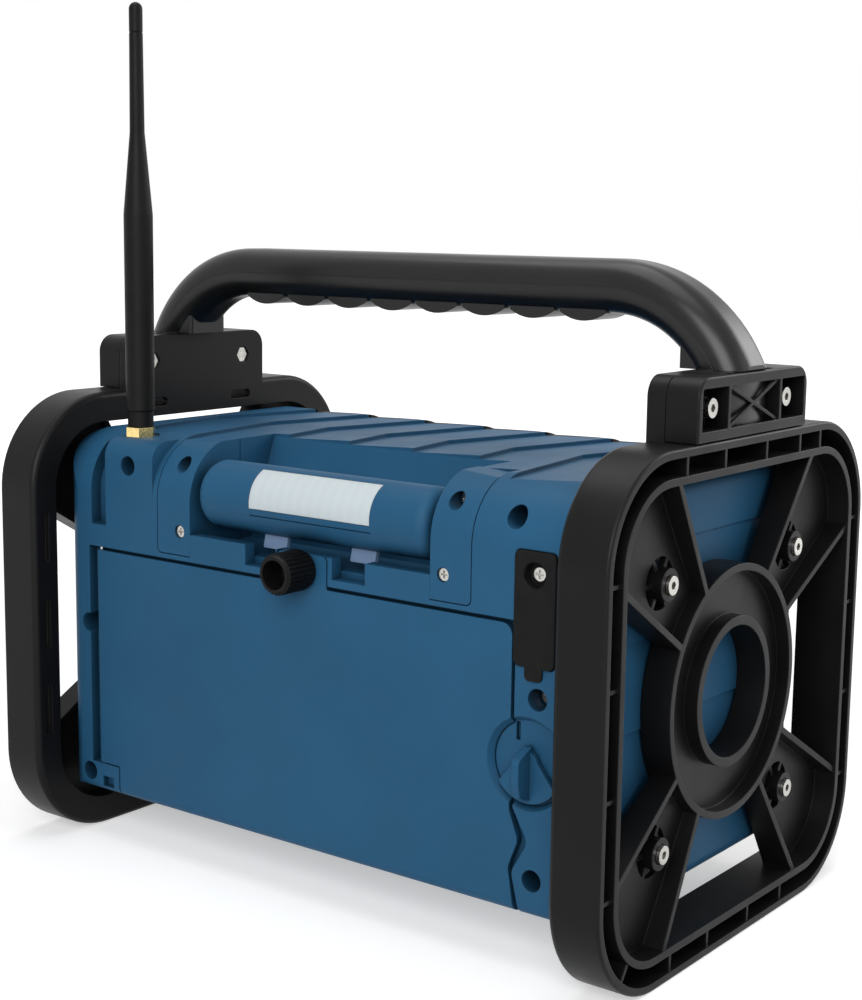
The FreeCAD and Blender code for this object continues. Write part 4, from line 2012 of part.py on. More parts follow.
def cone_between(side, tip, base, z):
    """Contact dome that reaches from its plate towards the last cell."""
    if side > 0:
        return cone("x", (CELL_Y, z), tip, base, CELL_CAP_RADIUS, 2 * CELL_CAP_RADIUS)
    return cone("x", (CELL_Y, z), -base, -tip, 2 * CELL_CAP_RADIUS, CELL_CAP_RADIUS)


def speaker_grille(x):
    """Round slotted grille over one loudspeaker."""
    centre = (x, SPEAKER_Z)
    start = HOUSING_FRONT - GRILLE_THICKNESS
    plate = rod("y", centre, start, HOUSING_FRONT, GRILLE_RADIUS)
    plate = soften(plate, start, ROUND_EDGE, along="y")
    opening = SPEAKER_OPENING - GRILLE_RIM
    slots = []
    pitch = GRILLE_SLOT + GRILLE_BAR
    count = int(opening / pitch)
    for i in range(-count, count + 1):
        z = SPEAKER_Z + pitch * i
        reach = math.sqrt(max(opening ** 2 - (pitch * abs(i) + GRILLE_SLOT / 2) ** 2, 1.0))
        for side in (-1, 1):
            slot = block(
                x + side * GRILLE_BAR / 2,
                x + side * reach,
                start - GAP,
                HOUSING_FRONT + GAP,
                z - GRILLE_SLOT / 2,
                z + GRILLE_SLOT / 2,
            )
            slots.append(slot)
    return plate.cut(slots)


def speaker_screw_centres(x):
    """Four screws on a circle round one loudspeaker."""
    centres = []
    for i in range(4):
        angle = math.radians(45 + 90 * i)
        reach = SPEAKER_SCREW_CIRCLE
        centres.append((x + reach * math.cos(angle), SPEAKER_Z + reach * math.sin(angle)))
    return centres


def speaker_driver(x):
    """Basket and magnet of one loudspeaker."""
    centre = (x, SPEAKER_Z)
    front = FRONT_INNER
    seat = front + BASKET_FLANGE_THICKNESS
    back = front + BASKET_DEPTH
    flange = rod("y", centre, front, seat, BASKET_FLANGE)
    basket = cone("y", centre, seat, back, BASKET_MOUTH + BASKET_WALL, BASKET_BACK + BASKET_WALL)
    hollow = cone("y", centre, seat, back - BASKET_WALL, BASKET_MOUTH, BASKET_BACK)
    body = union([flange, basket])
    body = body.cut([hollow, rod("y", centre, front - GAP, seat + GAP, BASKET_MOUTH)])
    magnet = rod("y", centre, back, back + MAGNET_TALL, MAGNET_RADIUS)
    pole = rod("y", centre, seat + CONE_DEPTH + CONE_WALL + GAP, back, CONE_THROAT - 2 * GAP)
    body = union([body, magnet, pole])
    holes = []
    for hole in speaker_screw_centres(x):
        holes.append(rod("y", hole, front - GAP, seat + GAP, SPEAKER_SCREW_RADIUS + CLEARANCE_HOLE))
    return body.cut(holes)


def speaker_cone(x):
    """Paper cone with its rubber edge and dust cap."""
    centre = (x, SPEAKER_Z)
    front = FRONT_INNER + BASKET_FLANGE_THICKNESS - CONE_WALL
    end = front + CONE_DEPTH
    outside = cone("y", centre, front, end, CONE_RADIUS, CONE_THROAT)
    inside = cone("y", centre, front, end - CONE_WALL, CONE_RADIUS - CONE_WALL, CONE_THROAT - CONE_WALL)
    edge = tube("y", centre, front, front + CONE_WALL, BASKET_MOUTH - GAP, CONE_RADIUS - 2 * CONE_WALL)
    cap_ball = Part.makeSphere(CONE_THROAT, Vector(x, end - CONE_WALL, SPEAKER_Z))
    cap_hollow = Part.makeSphere(CONE_THROAT - CONE_WALL, Vector(x, end - CONE_WALL, SPEAKER_Z))
    limit = block(x - FAR, x + FAR, front, end - CONE_WALL, 0, FAR)
    cap = cap_ball.cut(cap_hollow).common(limit)
    return union([outside.cut(inside), edge, cap])


def speaker_screws():
    """Eight small screws behind the front wall."""
    seat = FRONT_INNER + BASKET_FLANGE_THICKNESS
    screws = []
    for x in SPEAKER_XS:
        for centre in speaker_screw_centres(x):
            tip = HOUSING_FRONT + HOUSING_WALL / 2 + GAP
            screw = cross_screw(
                centre,
                seat,
                SPEAKER_SCREW_HEAD,
                SPEAKER_SCREW_HEAD_TALL,
                SPEAKER_SCREW_RADIUS,
                seat - tip,
            )
            screws.append(screw)
    return group(screws)


def display_cut(start, end, grow):
    """Opening of the display, grown by a clearance."""
    return rounded_box(
        "y",
        -DISPLAY_HALF_WIDTH - grow,
        DISPLAY_HALF_WIDTH + grow,
        DISPLAY_BOTTOM - grow,
        DISPLAY_TOP + grow,
        DISPLAY_CORNER,
        start,
        end,
    )


def button_block(x, start, end, grow):
    """Rounded block of one button, grown by a clearance or flange."""
    half = BUTTON_WIDTH / 2 + grow
    tall = BUTTON_HEIGHT / 2 + grow
    return rounded_box("y", x - half, x + half, BUTTON_Z - tall, BUTTON_Z + tall, BUTTON_CORNER, start, end)


def front_panel():
    """Plate on the front wall round the display, buttons and knobs."""
    body = rounded_box(
        "y",
        -PANEL_HALF_WIDTH,
        PANEL_HALF_WIDTH,
        PANEL_BOTTOM,
        PANEL_TOP,
        PANEL_CORNER,
        PANEL_FACE,
        HOUSING_FRONT,
    )
    body = soften(body, PANEL_FACE, ROUND_EDGE, along="y")
    cuts = [display_cut(PANEL_FACE - GAP, HOUSING_FRONT + GAP, -WINDOW_LIP)]
    for x in BUTTON_XS:
        cuts.append(button_block(x, PANEL_FACE - GAP, HOUSING_FRONT + GAP, BUTTON_GAP))
    for x in KNOB_XS:
        cuts.append(rod("y", (x, KNOB_Z), PANEL_FACE - GAP, HOUSING_FRONT + GAP, ENCODER_BUSH + GAP))
    for x in SPEAKER_XS:
        cuts.append(rod("y", (x, SPEAKER_Z), PANEL_FACE - GAP, HOUSING_FRONT + GAP, GRILLE_RADIUS + GAP))
    return body.cut(cuts)


def display_window():
    """Clear window behind the lip of the panel."""
    return display_cut(HOUSING_FRONT, HOUSING_FRONT + WINDOW_THICKNESS, 0)


def display_module():
    """Display behind its window, on the main board."""
    start = HOUSING_FRONT + WINDOW_THICKNESS
    half = DISPLAY_HALF_WIDTH - DISPLAY_MODULE_MARGIN
    low = DISPLAY_BOTTOM + DISPLAY_MODULE_MARGIN
    high = DISPLAY_TOP - DISPLAY_MODULE_MARGIN
    body = block(-half, half, start, start + DISPLAY_MODULE_THICKNESS, low, high)
    legs = []
    inset = DISPLAY_LEG_INSET
    for x in (-half + inset, half - inset):
        for z in (low + inset, high - inset):
            legs.append(rod("y", (x, z), start, MAIN_BOARD_Y - BOARD_THICKNESS, DISPLAY_LEG))
    return union([body] + legs)


def button(x):
    """Push button with a flange behind the panel and a plunger."""
    front = PANEL_FACE - BUTTON_PROUD
    cap = button_block(x, front, HOUSING_FRONT + BUTTON_FLANGE_THICKNESS + GAP, 0)
    cap = soften(cap, front, ROUND_EDGE, along="y")
    seat = HOUSING_FRONT + GAP
    flange = button_block(x, seat, seat + BUTTON_FLANGE_THICKNESS, BUTTON_FLANGE)
    tip = switch_top() - BUTTON_TRAVEL - GAP
    plunger = rod("y", (x, BUTTON_Z), seat, tip, BUTTON_PLUNGER)
    return union([cap, flange, plunger])


def switch_top():
    """Front of the small switches on the main board."""
    return MAIN_BOARD_Y - BOARD_THICKNESS - SWITCH_TALL


def board_posts():
    """Four posts that carry the main board."""
    half = BOARD_HALF_WIDTH - BOARD_POST
    posts = []
    for x in (-half, half):
        for z in (BOARD_BOTTOM + BOARD_POST, BOARD_TOP - BOARD_POST):
            posts.append((x, z))
    return posts


def main_board():
    """Main board with switches and chips."""
    back = MAIN_BOARD_Y
    front = back - BOARD_THICKNESS
    pieces = [block(-BOARD_HALF_WIDTH, BOARD_HALF_WIDTH, front, back, BOARD_BOTTOM, BOARD_TOP)]
    size = SWITCH_SIZE / 2
    for x in BUTTON_XS:
        pieces.append(block(x - size, x + size, switch_top(), front, BUTTON_Z - size, BUTTON_Z + size))
    chip = BOARD_CHIP / 2
    top = back + BOARD_CHIP_TALL
    for x in (-BOARD_CHIP_SPREAD, BOARD_CHIP_SPREAD):
        for z in (BOARD_BOTTOM + BOARD_CHIP_RISE, BOARD_TOP - BOARD_CHIP_DROP):
            pieces.append(block(x - chip, x + chip, back, top, z - chip, z + chip))
    return union(pieces)


def encoders():
    """Bodies and bushes of the two rotary encoders, on the main board."""
    bodies = []
    for x in KNOB_XS:
        half = ENCODER_SIZE / 2
        end = MAIN_BOARD_Y - BOARD_THICKNESS
        body = block(x - half, x + half, end - ENCODER_TALL, end, KNOB_Z - half, KNOB_Z + half)
        bush = rod("y", (x, KNOB_Z), PANEL_FACE, end - ENCODER_TALL, ENCODER_BUSH)
        bore = rod("y", (x, KNOB_Z), PANEL_FACE - GAP, end - ENCODER_FLOOR, SHAFT_RADIUS + SHAFT_FIT)
        bodies.append(union([body, bush]).cut(bore))
    return group(bodies)


def knob_shaft(x):
    """Steel shaft that turns with one knob."""
    start = PANEL_FACE - GAP - KNOB_TALL + KNOB_CAP
    end = MAIN_BOARD_Y - BOARD_THICKNESS - ENCODER_FLOOR - GAP
    return rod("y", (x, KNOB_Z), start, end, SHAFT_RADIUS)


def knob(x):
    """Fluted rotary knob with a skirt and a bore for its shaft."""
    end = PANEL_FACE - GAP
    start = end - KNOB_TALL
    centre = (x, KNOB_Z)
    edge = start + KNOB_BEVEL
    grip_radius = KNOB_RADIUS - KNOB_BEVEL
    skirt = rod("y", centre, end - KNOB_SKIRT, end, KNOB_RADIUS)
    grip = fluted_rod("y", centre, edge, end - KNOB_SKIRT, grip_radius, KNOB_FLUTE, KNOB_FLUTES)
    face = cone("y", centre, start, edge, grip_radius - 2 * KNOB_BEVEL, grip_radius - KNOB_BEVEL)
    body = union([skirt, grip, face])
    half = KNOB_MARK / 2
    mark_end = start + KNOB_MARK_DEPTH
    mark = block(x - half, x + half, start - GAP, mark_end, KNOB_Z + KNOB_MARK_START, KNOB_Z + KNOB_RADIUS)
    bore = rod("y", centre, start + KNOB_CAP - GAP, end + GAP, SHAFT_RADIUS + SHAFT_FIT)
    return body.cut([mark, bore])


def sub_parts():
    """Every sub-part by its name."""
    end_guard = guard()
    clamp = handle_clamp()
    cheek = lamp_cheek()
    parts = {
        "guard_right": end_guard,
        "guard_left": mirrored(end_guard),
        "guard_screws": guard_screws(),
        "handle_upper_shell": handle_upper_shell(),
        "handle_lower_shell": handle_lower_shell(),
        "handle_clamp_right": clamp,
        "handle_clamp_left": mirrored(clamp),
        "handle_clamp_bolts": clamp_bolts(),
        "handle_clamp_nuts": clamp_nuts(),
        "rear_housing": rear_housing(),
        "front_housing": front_housing(),
        "housing_seal": housing_seal(),
        "housing_screws": housing_screws(),
        "lamp_cheek_right": cheek,
        "lamp_cheek_left": mirrored(cheek),
        "lamp_cheek_screws": cheek_screws(),
        "lamp_tube": lamp_tube(),
        "lamp_diffuser": lamp_diffuser(),
        "lamp_led_board": led_board(),
        "lamp_tabs": lamp_tabs(),
        "rear_door": rear_door(),
        "door_seal": door_seal(),
        "door_hinge_pins": group(hinge_pins(HINGE_PIN_RADIUS, 0)),
        "thumb_screw": thumb_screw(),
        "thumb_screw_clip": thumb_clip(),
        "thumb_screw_insert": thumb_insert(),
        "wing_latch": wing_latch(),
        "wing_latch_clip": latch_clip(),
        "port_cover_root": port_cover_root(),
        "port_cover_flap": port_cover_flap(),
        "port_cover_screw": port_cover_screw(),
        "port_sockets": port_sockets(),
        "antenna_socket": antenna_socket(),
        "antenna_whip": antenna_whip(),
        "battery_bay": battery_bay(),
        "battery_cells": battery_cells(),
        "battery_contacts": battery_contacts(),
        "speaker_screws": speaker_screws(),
        "front_panel": front_panel(),
        "display_window": display_window(),
        "display_module": display_module(),
        "main_board": main_board(),
        "knob_encoders": encoders(),
    }
    for name, x in (("left", -SPEAKER_X), ("right", SPEAKER_X)):
        parts["speaker_grille_" + name] = speaker_grille(x)
        parts["speaker_driver_" + name] = speaker_driver(x)
        parts["speaker_cone_" + name] = speaker_cone(x)
    for i, x in enumerate(BUTTON_XS):
        parts["push_button_" + str(i + 1)] = button(x)
    for name, x in (("volume", -KNOB_X), ("tuning", KNOB_X)):
        parts[name + "_knob"] = knob(x)
        parts[name + "_shaft"] = knob_shaft(x)
    return parts


def main():
    """Write every sub-part as a file of its own."""
    os.makedirs("parts", exist_ok=True)
    for name, shape in sub_parts().items():
        solids = len(shape.Solids)
        print(name, solids, "solids", round(shape.Volume / 1000, 2), "cm3", "valid", shape.isValid())
        shape.exportStep("parts/" + name + ".step")


main()
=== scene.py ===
# %% [markdown]
# # A jobsite radio, seen from behind
#
# The radio is a blue box between two black end guards, with a carrying handle over it. Its solids come
# from the drawing office and stay as they are. This lesson gives each of them a finish, adds the small
# things that a solid model leaves out, and lights the whole as for a catalogue picture.
#
# Every length here is in metres, Z is up, and the rear with its door faces +Y.

import math

import bmesh
import bpy
from mathutils import Matrix, Vector


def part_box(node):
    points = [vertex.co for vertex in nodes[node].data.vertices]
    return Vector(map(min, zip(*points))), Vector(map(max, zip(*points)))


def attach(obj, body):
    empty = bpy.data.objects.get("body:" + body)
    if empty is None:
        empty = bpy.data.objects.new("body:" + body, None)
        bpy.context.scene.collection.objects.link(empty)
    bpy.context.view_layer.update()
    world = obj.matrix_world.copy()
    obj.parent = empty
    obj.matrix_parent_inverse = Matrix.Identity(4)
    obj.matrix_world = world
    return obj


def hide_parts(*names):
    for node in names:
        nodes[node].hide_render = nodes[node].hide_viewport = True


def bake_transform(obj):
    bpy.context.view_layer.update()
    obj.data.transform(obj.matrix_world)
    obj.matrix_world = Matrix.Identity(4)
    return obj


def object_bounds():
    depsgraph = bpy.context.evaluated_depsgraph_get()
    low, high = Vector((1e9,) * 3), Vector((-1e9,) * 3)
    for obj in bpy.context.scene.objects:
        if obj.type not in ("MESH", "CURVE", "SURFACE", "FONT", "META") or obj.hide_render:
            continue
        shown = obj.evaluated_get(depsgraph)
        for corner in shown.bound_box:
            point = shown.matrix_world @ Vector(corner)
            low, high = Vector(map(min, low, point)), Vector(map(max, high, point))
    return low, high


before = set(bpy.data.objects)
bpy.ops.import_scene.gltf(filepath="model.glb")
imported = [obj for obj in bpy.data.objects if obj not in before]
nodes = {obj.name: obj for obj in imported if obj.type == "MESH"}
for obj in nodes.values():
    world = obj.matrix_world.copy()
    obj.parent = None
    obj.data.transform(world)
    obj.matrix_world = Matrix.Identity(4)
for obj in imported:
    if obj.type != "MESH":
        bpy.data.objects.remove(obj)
solid_low, solid_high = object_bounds()
MM = 0.001
print("solids", len(nodes), "size", [round(v, 3) for v in solid_high - solid_low])

# %% [markdown]
# ## The camera
#
# The photographer stood behind the radio, towards the end that shows its whole guard, and a little above
# it. A long lens from about 85 cm keeps the edges nearly parallel. The place and the three angles below
# describe a tripod: where it stands, how far the head is turned, how far it looks down, and the slight
# lean of the horizon. Building the axes from these angles is easier to read than a matrix of numbers.

# %% Set up the camera
TRIPOD = Vector((-0.4773, 0.6249, 0.2904))
TURN = math.radians(37.14)
LOOK_DOWN = math.radians(9.07)
LEAN = math.radians(0.77)
LENS = 63.66


def camera_axes(turn, down, lean):
    """Right, up and backward axes of a camera that is turned, tipped down and leaned."""
    ahead = Vector((math.sin(turn) * math.cos(down), -math.cos(turn) * math.cos(down), -math.sin(down)))
    level = ahead.cross(Vector((0, 0, 1))).normalized()
    upright = level.cross(ahead)
    right = level * math.cos(lean) + upright * math.sin(lean)
    up = upright * math.cos(lean) - level * math.sin(lean)
    return right, up, -ahead


def photographer():
    """Camera of the photograph."""
    data = bpy.data.cameras.new("rear_view")
    data.lens = LENS
    camera = bpy.data.objects.new("rear_view", data)
    right, up, back = camera_axes(TURN, LOOK_DOWN, LEAN)
    turned = Matrix((right, up, back)).transposed().to_4x4()
    camera.matrix_world = Matrix.Translation(TRIPOD) @ turned
    bpy.context.scene.collection.objects.link(camera)
    bpy.context.scene.camera = camera
    return camera


camera = photographer()
print("camera", [round(v, 3) for v in camera.location])

# %% [markdown]
# ## The studio
#
# A catalogue picture has a white ground with only a soft shadow. The floor is a plain pale sheet. The rest
# of the white is a glow that only some rays see: those from the camera, those that mirror off a surface
# and those that pass through clear plastic. So the radio itself is lit by the lamps and a faint even room,
# and its metal still mirrors white. The glow is weaker near the radio, where the lamps light the sheet and
# the radio's shadow has to stay, and full far away, where the sheet would otherwise turn grey.

# %% Lay the floor and set the surroundings
FLOOR_REACH = 6.0
FLOOR_TONE = (0.82, 0.82, 0.82, 1.0)
GLOW_RAMP = {"From Min": 0.35, "From Max": 1.5, "To Min": 0.42, "To Max": 1.0}
ROOM_TONE = (0.95, 0.97, 1.0, 1.0)
ROOM_LIGHT = 0.09


def greater(tree, first, second):
    """The greater of two values."""
    node = tree.nodes.new("ShaderNodeMath")
    node.operation = "MAXIMUM"
    tree.links.new(first, node.inputs[0])
    tree.links.new(second, node.inputs[1])
    return node.outputs[0]


def seen_directly(tree):
    """1 for rays from the camera, off a mirror or through glass, otherwise 0."""
    path = tree.nodes.new("ShaderNodeLightPath")
    mirrored = greater(tree, path.outputs["Is Camera Ray"], path.outputs["Is Glossy Ray"])
    return greater(tree, mirrored, path.outputs["Is Transmission Ray"])


def glow_with_distance(tree):
    """Glow of the sheet, which grows with the distance from the radio."""
    place = tree.nodes.new("ShaderNodeTexCoord")
    length = tree.nodes.new("ShaderNodeVectorMath")
    length.operation = "LENGTH"
    tree.links.new(place.outputs["Object"], length.inputs[0])
    ramp = tree.nodes.new("ShaderNodeMapRange")
    ramp.interpolation_type = "SMOOTHSTEP"
    for name, value in GLOW_RAMP.items():
        ramp.inputs[name].default_value = value
    tree.links.new(length.outputs["Value"], ramp.inputs["Value"])
    return ramp.outputs["Result"]


def floor_finish():
    """Matt white paper that glows a little for the camera."""
    material = bpy.data.materials.new("studio_paper")
    material.use_nodes = True
    tree = material.node_tree
    shader = tree.nodes["Principled BSDF"]
    shader.inputs["Base Color"].default_value = FLOOR_TONE
    shader.inputs["Roughness"].default_value = 0.9
    shader.inputs["Specular IOR Level"].default_value = 0.1
    shader.inputs["Emission Color"].default_value = (1.0, 1.0, 1.0, 1.0)
    strength = tree.nodes.new("ShaderNodeMath")
    strength.operation = "MULTIPLY"
    tree.links.new(glow_with_distance(tree), strength.inputs[1])
    tree.links.new(seen_directly(tree), strength.inputs[0])
    tree.links.new(strength.outputs[0], shader.inputs["Emission Strength"])
    return material


def floor_sheet():
    """Large level sheet under the guards."""
    mesh = bpy.data.meshes.new("studio_floor")
    r = FLOOR_REACH
    mesh.from_pydata([(-r, -r, 0), (r, -r, 0), (r, r, 0), (-r, r, 0)], [], [(0, 1, 2, 3)])
    mesh.materials.append(floor_finish())
    floor = bpy.data.objects.new("studio_floor", mesh)
    bpy.context.scene.collection.objects.link(floor)
    return floor


def surroundings():
    """Even pale room, plain white where the camera looks past the floor."""
    world = bpy.data.worlds.new("studio_room")
    world.use_nodes = True
    bpy.context.scene.world = world
    tree = world.node_tree
    room = tree.nodes["Background"]
    room.inputs["Color"].default_value = ROOM_TONE
    room.inputs["Strength"].default_value = ROOM_LIGHT
    white = tree.nodes.new("ShaderNodeBackground")
    white.inputs["Color"].default_value = (1.0, 1.0, 1.0, 1.0)
    white.inputs["Strength"].default_value = 1.0
    mix = tree.nodes.new("ShaderNodeMixShader")
    tree.links.new(seen_directly(tree), mix.inputs[0])
    tree.links.new(room.outputs[0], mix.inputs[1])
    tree.links.new(white.outputs[0], mix.inputs[2])
    tree.links.new(mix.outputs[0], tree.nodes["World Output"].inputs["Surface"])


bpy.context.scene.view_settings.view_transform = "Standard"
floor_sheet()
surroundings()
print("floor tone", FLOOR_TONE[0], "room light", ROOM_LIGHT)

# %% [markdown]
# ## The lamps
#
# Black plastic shows its shape only by what it mirrors, so the lamps are broad: one long box overhead that
# draws the bright line along the handle, one tall box beside the camera for the rear face, a weak one at
# the open end that rims the near guard, and one for the front. Each is given by its place, its two sides
# and its watts. Area lamps aimed at the middle of the radio do this with soft shadows.

# %% Hang the lamps
MIDDLE = (solid_low + solid_high) / 2
LAMPS = (
    ("overhead", (0.1, 0.1, 1.35), (1.3, 0.8), 8.0),
    ("beside_camera", (-0.75, 1.55, 0.95), (1.2, 1.1), 29.0),
    ("end_light", (-1.45, -0.3, 0.7), (0.7, 1.0), 2.6),
    ("front_light", (-0.8, -1.4, 0.9), (1.0, 0.8), 12.0),
)


def hang_lamp(name, place, size, power):
    """Rectangular soft lamp aimed at the middle of the radio."""
    data = bpy.data.lights.new(name, "AREA")
    data.shape = "RECTANGLE"
    data.size, data.size_y = size
    data.energy = power
    lamp = bpy.data.objects.new(name, data)
    lamp.location = place
    lamp.rotation_euler = (MIDDLE - Vector(place)).to_track_quat("-Z", "Y").to_euler()
    bpy.context.scene.collection.objects.link(lamp)
    return lamp


for name, place, size, power in LAMPS:
    hang_lamp(name, place, size, power)
print("lamps", len(LAMPS), "total watts", round(sum(lamp[-1] for lamp in LAMPS), 1))

# %% [markdown]
# ## Words for finishes
#
# A finish is a small network: a fine texture for the skin of the moulding, a slow change of tone, and a
# rounded look along edges. A real moulding has no knife edges, so each network also bends the light along
# edges as if they had a small radius. In the photograph holes and grooves are darker than soft lamps leave
# them, so a finish may also paint shade into its colour where the surface sees little of its surroundings.
# This painted shade goes by how open the place is, not by where the camera stands, so it holds from all
# sides.

# %% Helpers for finishes
def new_finish(name, colour, roughness, metallic=0.0, specular=0.3):
    """Material with its node tree and its main shader."""
    material = bpy.data.materials.new(name)
    material.use_nodes = True
    material.diffuse_color = (*colour, 1.0)
    tree = material.node_tree
    shader = tree.nodes["Principled BSDF"]
    shader.inputs["Base Color"].default_value = (*colour, 1.0)
    shader.inputs["Roughness"].default_value = roughness
    shader.inputs["Metallic"].default_value = metallic
    shader.inputs["Specular IOR Level"].default_value = specular
    return material, tree, shader


def add(tree, kind, properties=None, **inputs):
    """New node with its properties and the values of its named inputs."""
    node = tree.nodes.new(kind)
    for key, value in (properties or {}).items():
        setattr(node, key, value)
    for key, value in inputs.items():
        node.inputs[key].default_value = value
    return node


def place_on_piece(tree):
    """Coordinates that stay with the piece, in metres."""
    return add(tree, "ShaderNodeTexCoord").outputs["Object"]


def noise(tree, size, detail=2.0, roughness=0.5):
    """Cloudy pattern whose blotches are about one size across."""
    texture = add(tree, "ShaderNodeTexNoise", Scale=1.0 / size, Detail=detail, Roughness=roughness)
    tree.links.new(place_on_piece(tree), texture.inputs["Vector"])
    return texture.outputs["Fac"]


def spread(tree, source, low, high):
    """Stretch a pattern's middle range over two values."""
    limits = {"From Min": 0.3, "From Max": 0.7, "To Min": low, "To Max": high}
    node = add(tree, "ShaderNodeMapRange", **limits)
    tree.links.new(source, node.inputs["Value"])
    return node.outputs["Result"]


def vary_roughness(tree, shader, low, high, size):
    """Roughness that drifts between two values."""
    tree.links.new(spread(tree, noise(tree, size), low, high), shader.inputs["Roughness"])


def vary_colour(tree, shader, dark, light, size, detail=3.0):
    """Colour that drifts between two tones."""
    mix = add(tree, "ShaderNodeMix", {"data_type": "RGBA"})
    mix.inputs["A"].default_value = (*dark, 1.0)
    mix.inputs["B"].default_value = (*light, 1.0)
    tree.links.new(spread(tree, noise(tree, size, detail), 0.0, 1.0), mix.inputs["Factor"])
    tree.links.new(mix.outputs["Result"], shader.inputs["Base Color"])


SHUT_IN = 0.15
WIDE_OPEN = 0.75


def paint_recess_shade(tree, shader, reach, floor):
    """Painted shade: a darker colour down in holes, grooves and recesses, where little of the surroundings
    is seen.
    """
    source = shader.inputs["Base Color"].links[0].from_socket
    openness = add(tree, "ShaderNodeAmbientOcclusion", {"samples": 6}, Distance=reach)
    limits = {"From Min": SHUT_IN, "From Max": WIDE_OPEN, "To Min": floor, "To Max": 1.0}
    ramp = add(tree, "ShaderNodeMapRange", **limits)
    tree.links.new(openness.outputs["AO"], ramp.inputs["Value"])
    grey = add(tree, "ShaderNodeCombineColor")
    for channel in ("Red", "Green", "Blue"):
        tree.links.new(ramp.outputs["Result"], grey.inputs[channel])
    mix = add(tree, "ShaderNodeMix", {"data_type": "RGBA", "blend_type": "MULTIPLY"})
    mix.inputs["Factor"].default_value = 1.0
    tree.links.new(source, mix.inputs["A"])
    tree.links.new(grey.outputs["Color"], mix.inputs["B"])
    tree.links.new(mix.outputs["Result"], shader.inputs["Base Color"])


def skin(tree, shader, grain=None, depth=0.0, edge=0.0004):
    """Fine texture of a moulding, over edges that look slightly rounded."""
    rounded = add(tree, "ShaderNodeBevel", {"samples": 4}, Radius=edge)
    normal = rounded.outputs["Normal"]
    if grain:
        bump = add(tree, "ShaderNodeBump", Strength=1.0, Distance=depth)
        tree.links.new(noise(tree, grain, 3.0), bump.inputs["Height"])
        tree.links.new(normal, bump.inputs["Normal"])
        normal = bump.outputs["Normal"]
    tree.links.new(normal, shader.inputs["Normal"])


print("finish helpers ready")

# %% [markdown]
# ## Moulded plastics
#
# The blue shells are moulded in a tool with a spark-eroded surface, which gives an even fine grain and a
# satin sheen. The guards and the handle are a tougher black plastic with a smoother skin: they look nearly
# black, with long soft reflections. The same network makes both, with other numbers.

# %% Finishes of the mouldings
BLUE = (0.017, 0.081, 0.162)
BLACK = (0.0045, 0.0045, 0.0048)


def shade(colour, factor):
    """A colour made lighter or darker."""
    return tuple(channel * factor for channel in colour)


def blue_shell():
    """Satin blue with a fine eroded grain, and painted shade in its holes and recesses."""
    material, tree, shader = new_finish("blue_shell", BLUE, 0.5, specular=0.12)
    vary_colour(tree, shader, shade(BLUE, 0.93), shade(BLUE, 1.07), 0.05)
    vary_roughness(tree, shader, 0.46, 0.54, 0.03)
    # Painted shade: the blue darkens in holes, grooves and recesses.
    paint_recess_shade(tree, shader, 16 * MM, 0.22)
    skin(tree, shader, 0.0005, 0.00001, 0.0006)
    return material


def guard_black():
    """Tough black plastic with long soft reflections."""
    material, tree, shader = new_finish("guard_black", BLACK, 0.38, specular=0.13)
    vary_colour(tree, shader, shade(BLACK, 0.9), shade(BLACK, 1.15), 0.03)
    vary_roughness(tree, shader, 0.34, 0.44, 0.02)
    skin(tree, shader, 0.0008, 0.000012, 0.0007)
    return material


def handle_black():
    """The same black, polished a little by hands."""
    material, tree, shader = new_finish("handle_black", BLACK, 0.3, specular=0.3)
    vary_roughness(tree, shader, 0.26, 0.36, 0.04)
    skin(tree, shader, 0.001, 0.00001, 0.0006)
    return material


def front_black():
    """Grained black of the front shell."""
    material, tree, shader = new_finish("front_black", BLACK, 0.5)
    vary_roughness(tree, shader, 0.45, 0.55, 0.02)
    skin(tree, shader, 0.0006, 0.00003, 0.0006)
    return material


def panel_grey():
    """Smooth dark grey of the control panel."""
    material, tree, shader = new_finish("panel_grey", (0.05, 0.052, 0.055), 0.35)
    vary_roughness(tree, shader, 0.3, 0.38, 0.03)
    skin(tree, shader, 0.0008, 0.000006, 0.0005)
    return material


def plain_black():
    """Unpolished black of parts inside."""
    material, tree, shader = new_finish("plain_black", (0.02, 0.02, 0.02), 0.6)
    skin(tree, shader, 0.001, 0.00002, 0.0003)
    return material


def display_back():
    """Grey-green back of a liquid crystal display."""
    material, tree, shader = new_finish("display_back", (0.36, 0.43, 0.30), 0.5, specular=0.2)
    vary_colour(tree, shader, (0.34, 0.41, 0.28), (0.38, 0.45, 0.32), 0.01)
    skin(tree, shader, 0.001, 0.00001, 0.0003)
    return material


plastics = {
    "blue": blue_shell(),
    "guard": guard_black(),
    "handle": handle_black(),
    "front": front_black(),
    "panel": panel_grey(),
    "inside": plain_black(),
    "display": display_back(),
}
print("plastics", sorted(plastics))

# %% [markdown]
# ## Rubber and metal
#
# Rubber drinks light: it is matt, with a slightly uneven skin. The zinc of the screws is bright with fine
# turning marks, and the brass antenna nut is yellow and clean. Each kind is one function with a few numbers,
# because parts of the same kind differ only in tone and gloss.

# %% Finishes of rubber and metal
def soft_black(name, tone, rough, grain):
    """Matt rubber with a fine uneven skin."""
    material, tree, shader = new_finish(name, (tone, tone, tone * 1.05), rough, specular=0.1)
    vary_colour(tree, shader, (tone * 0.85,) * 3, (tone * 1.2,) * 3, 0.006)
    vary_roughness(tree, shader, rough - 0.06, rough + 0.06, 0.01)
    skin(tree, shader, grain, 0.00003, 0.0004)
    return material


def turned_metal(name, colour, rough, mark=0.0002):
    """Bright metal with fine turning marks."""
    material, tree, shader = new_finish(name, colour, rough, metallic=1.0)
    vary_roughness(tree, shader, rough - 0.07, rough + 0.1, 0.0012)
    vary_colour(tree, shader, shade(colour, 0.85), colour, 0.002)
    skin(tree, shader, mark, 0.000008, 0.00025)
    return material


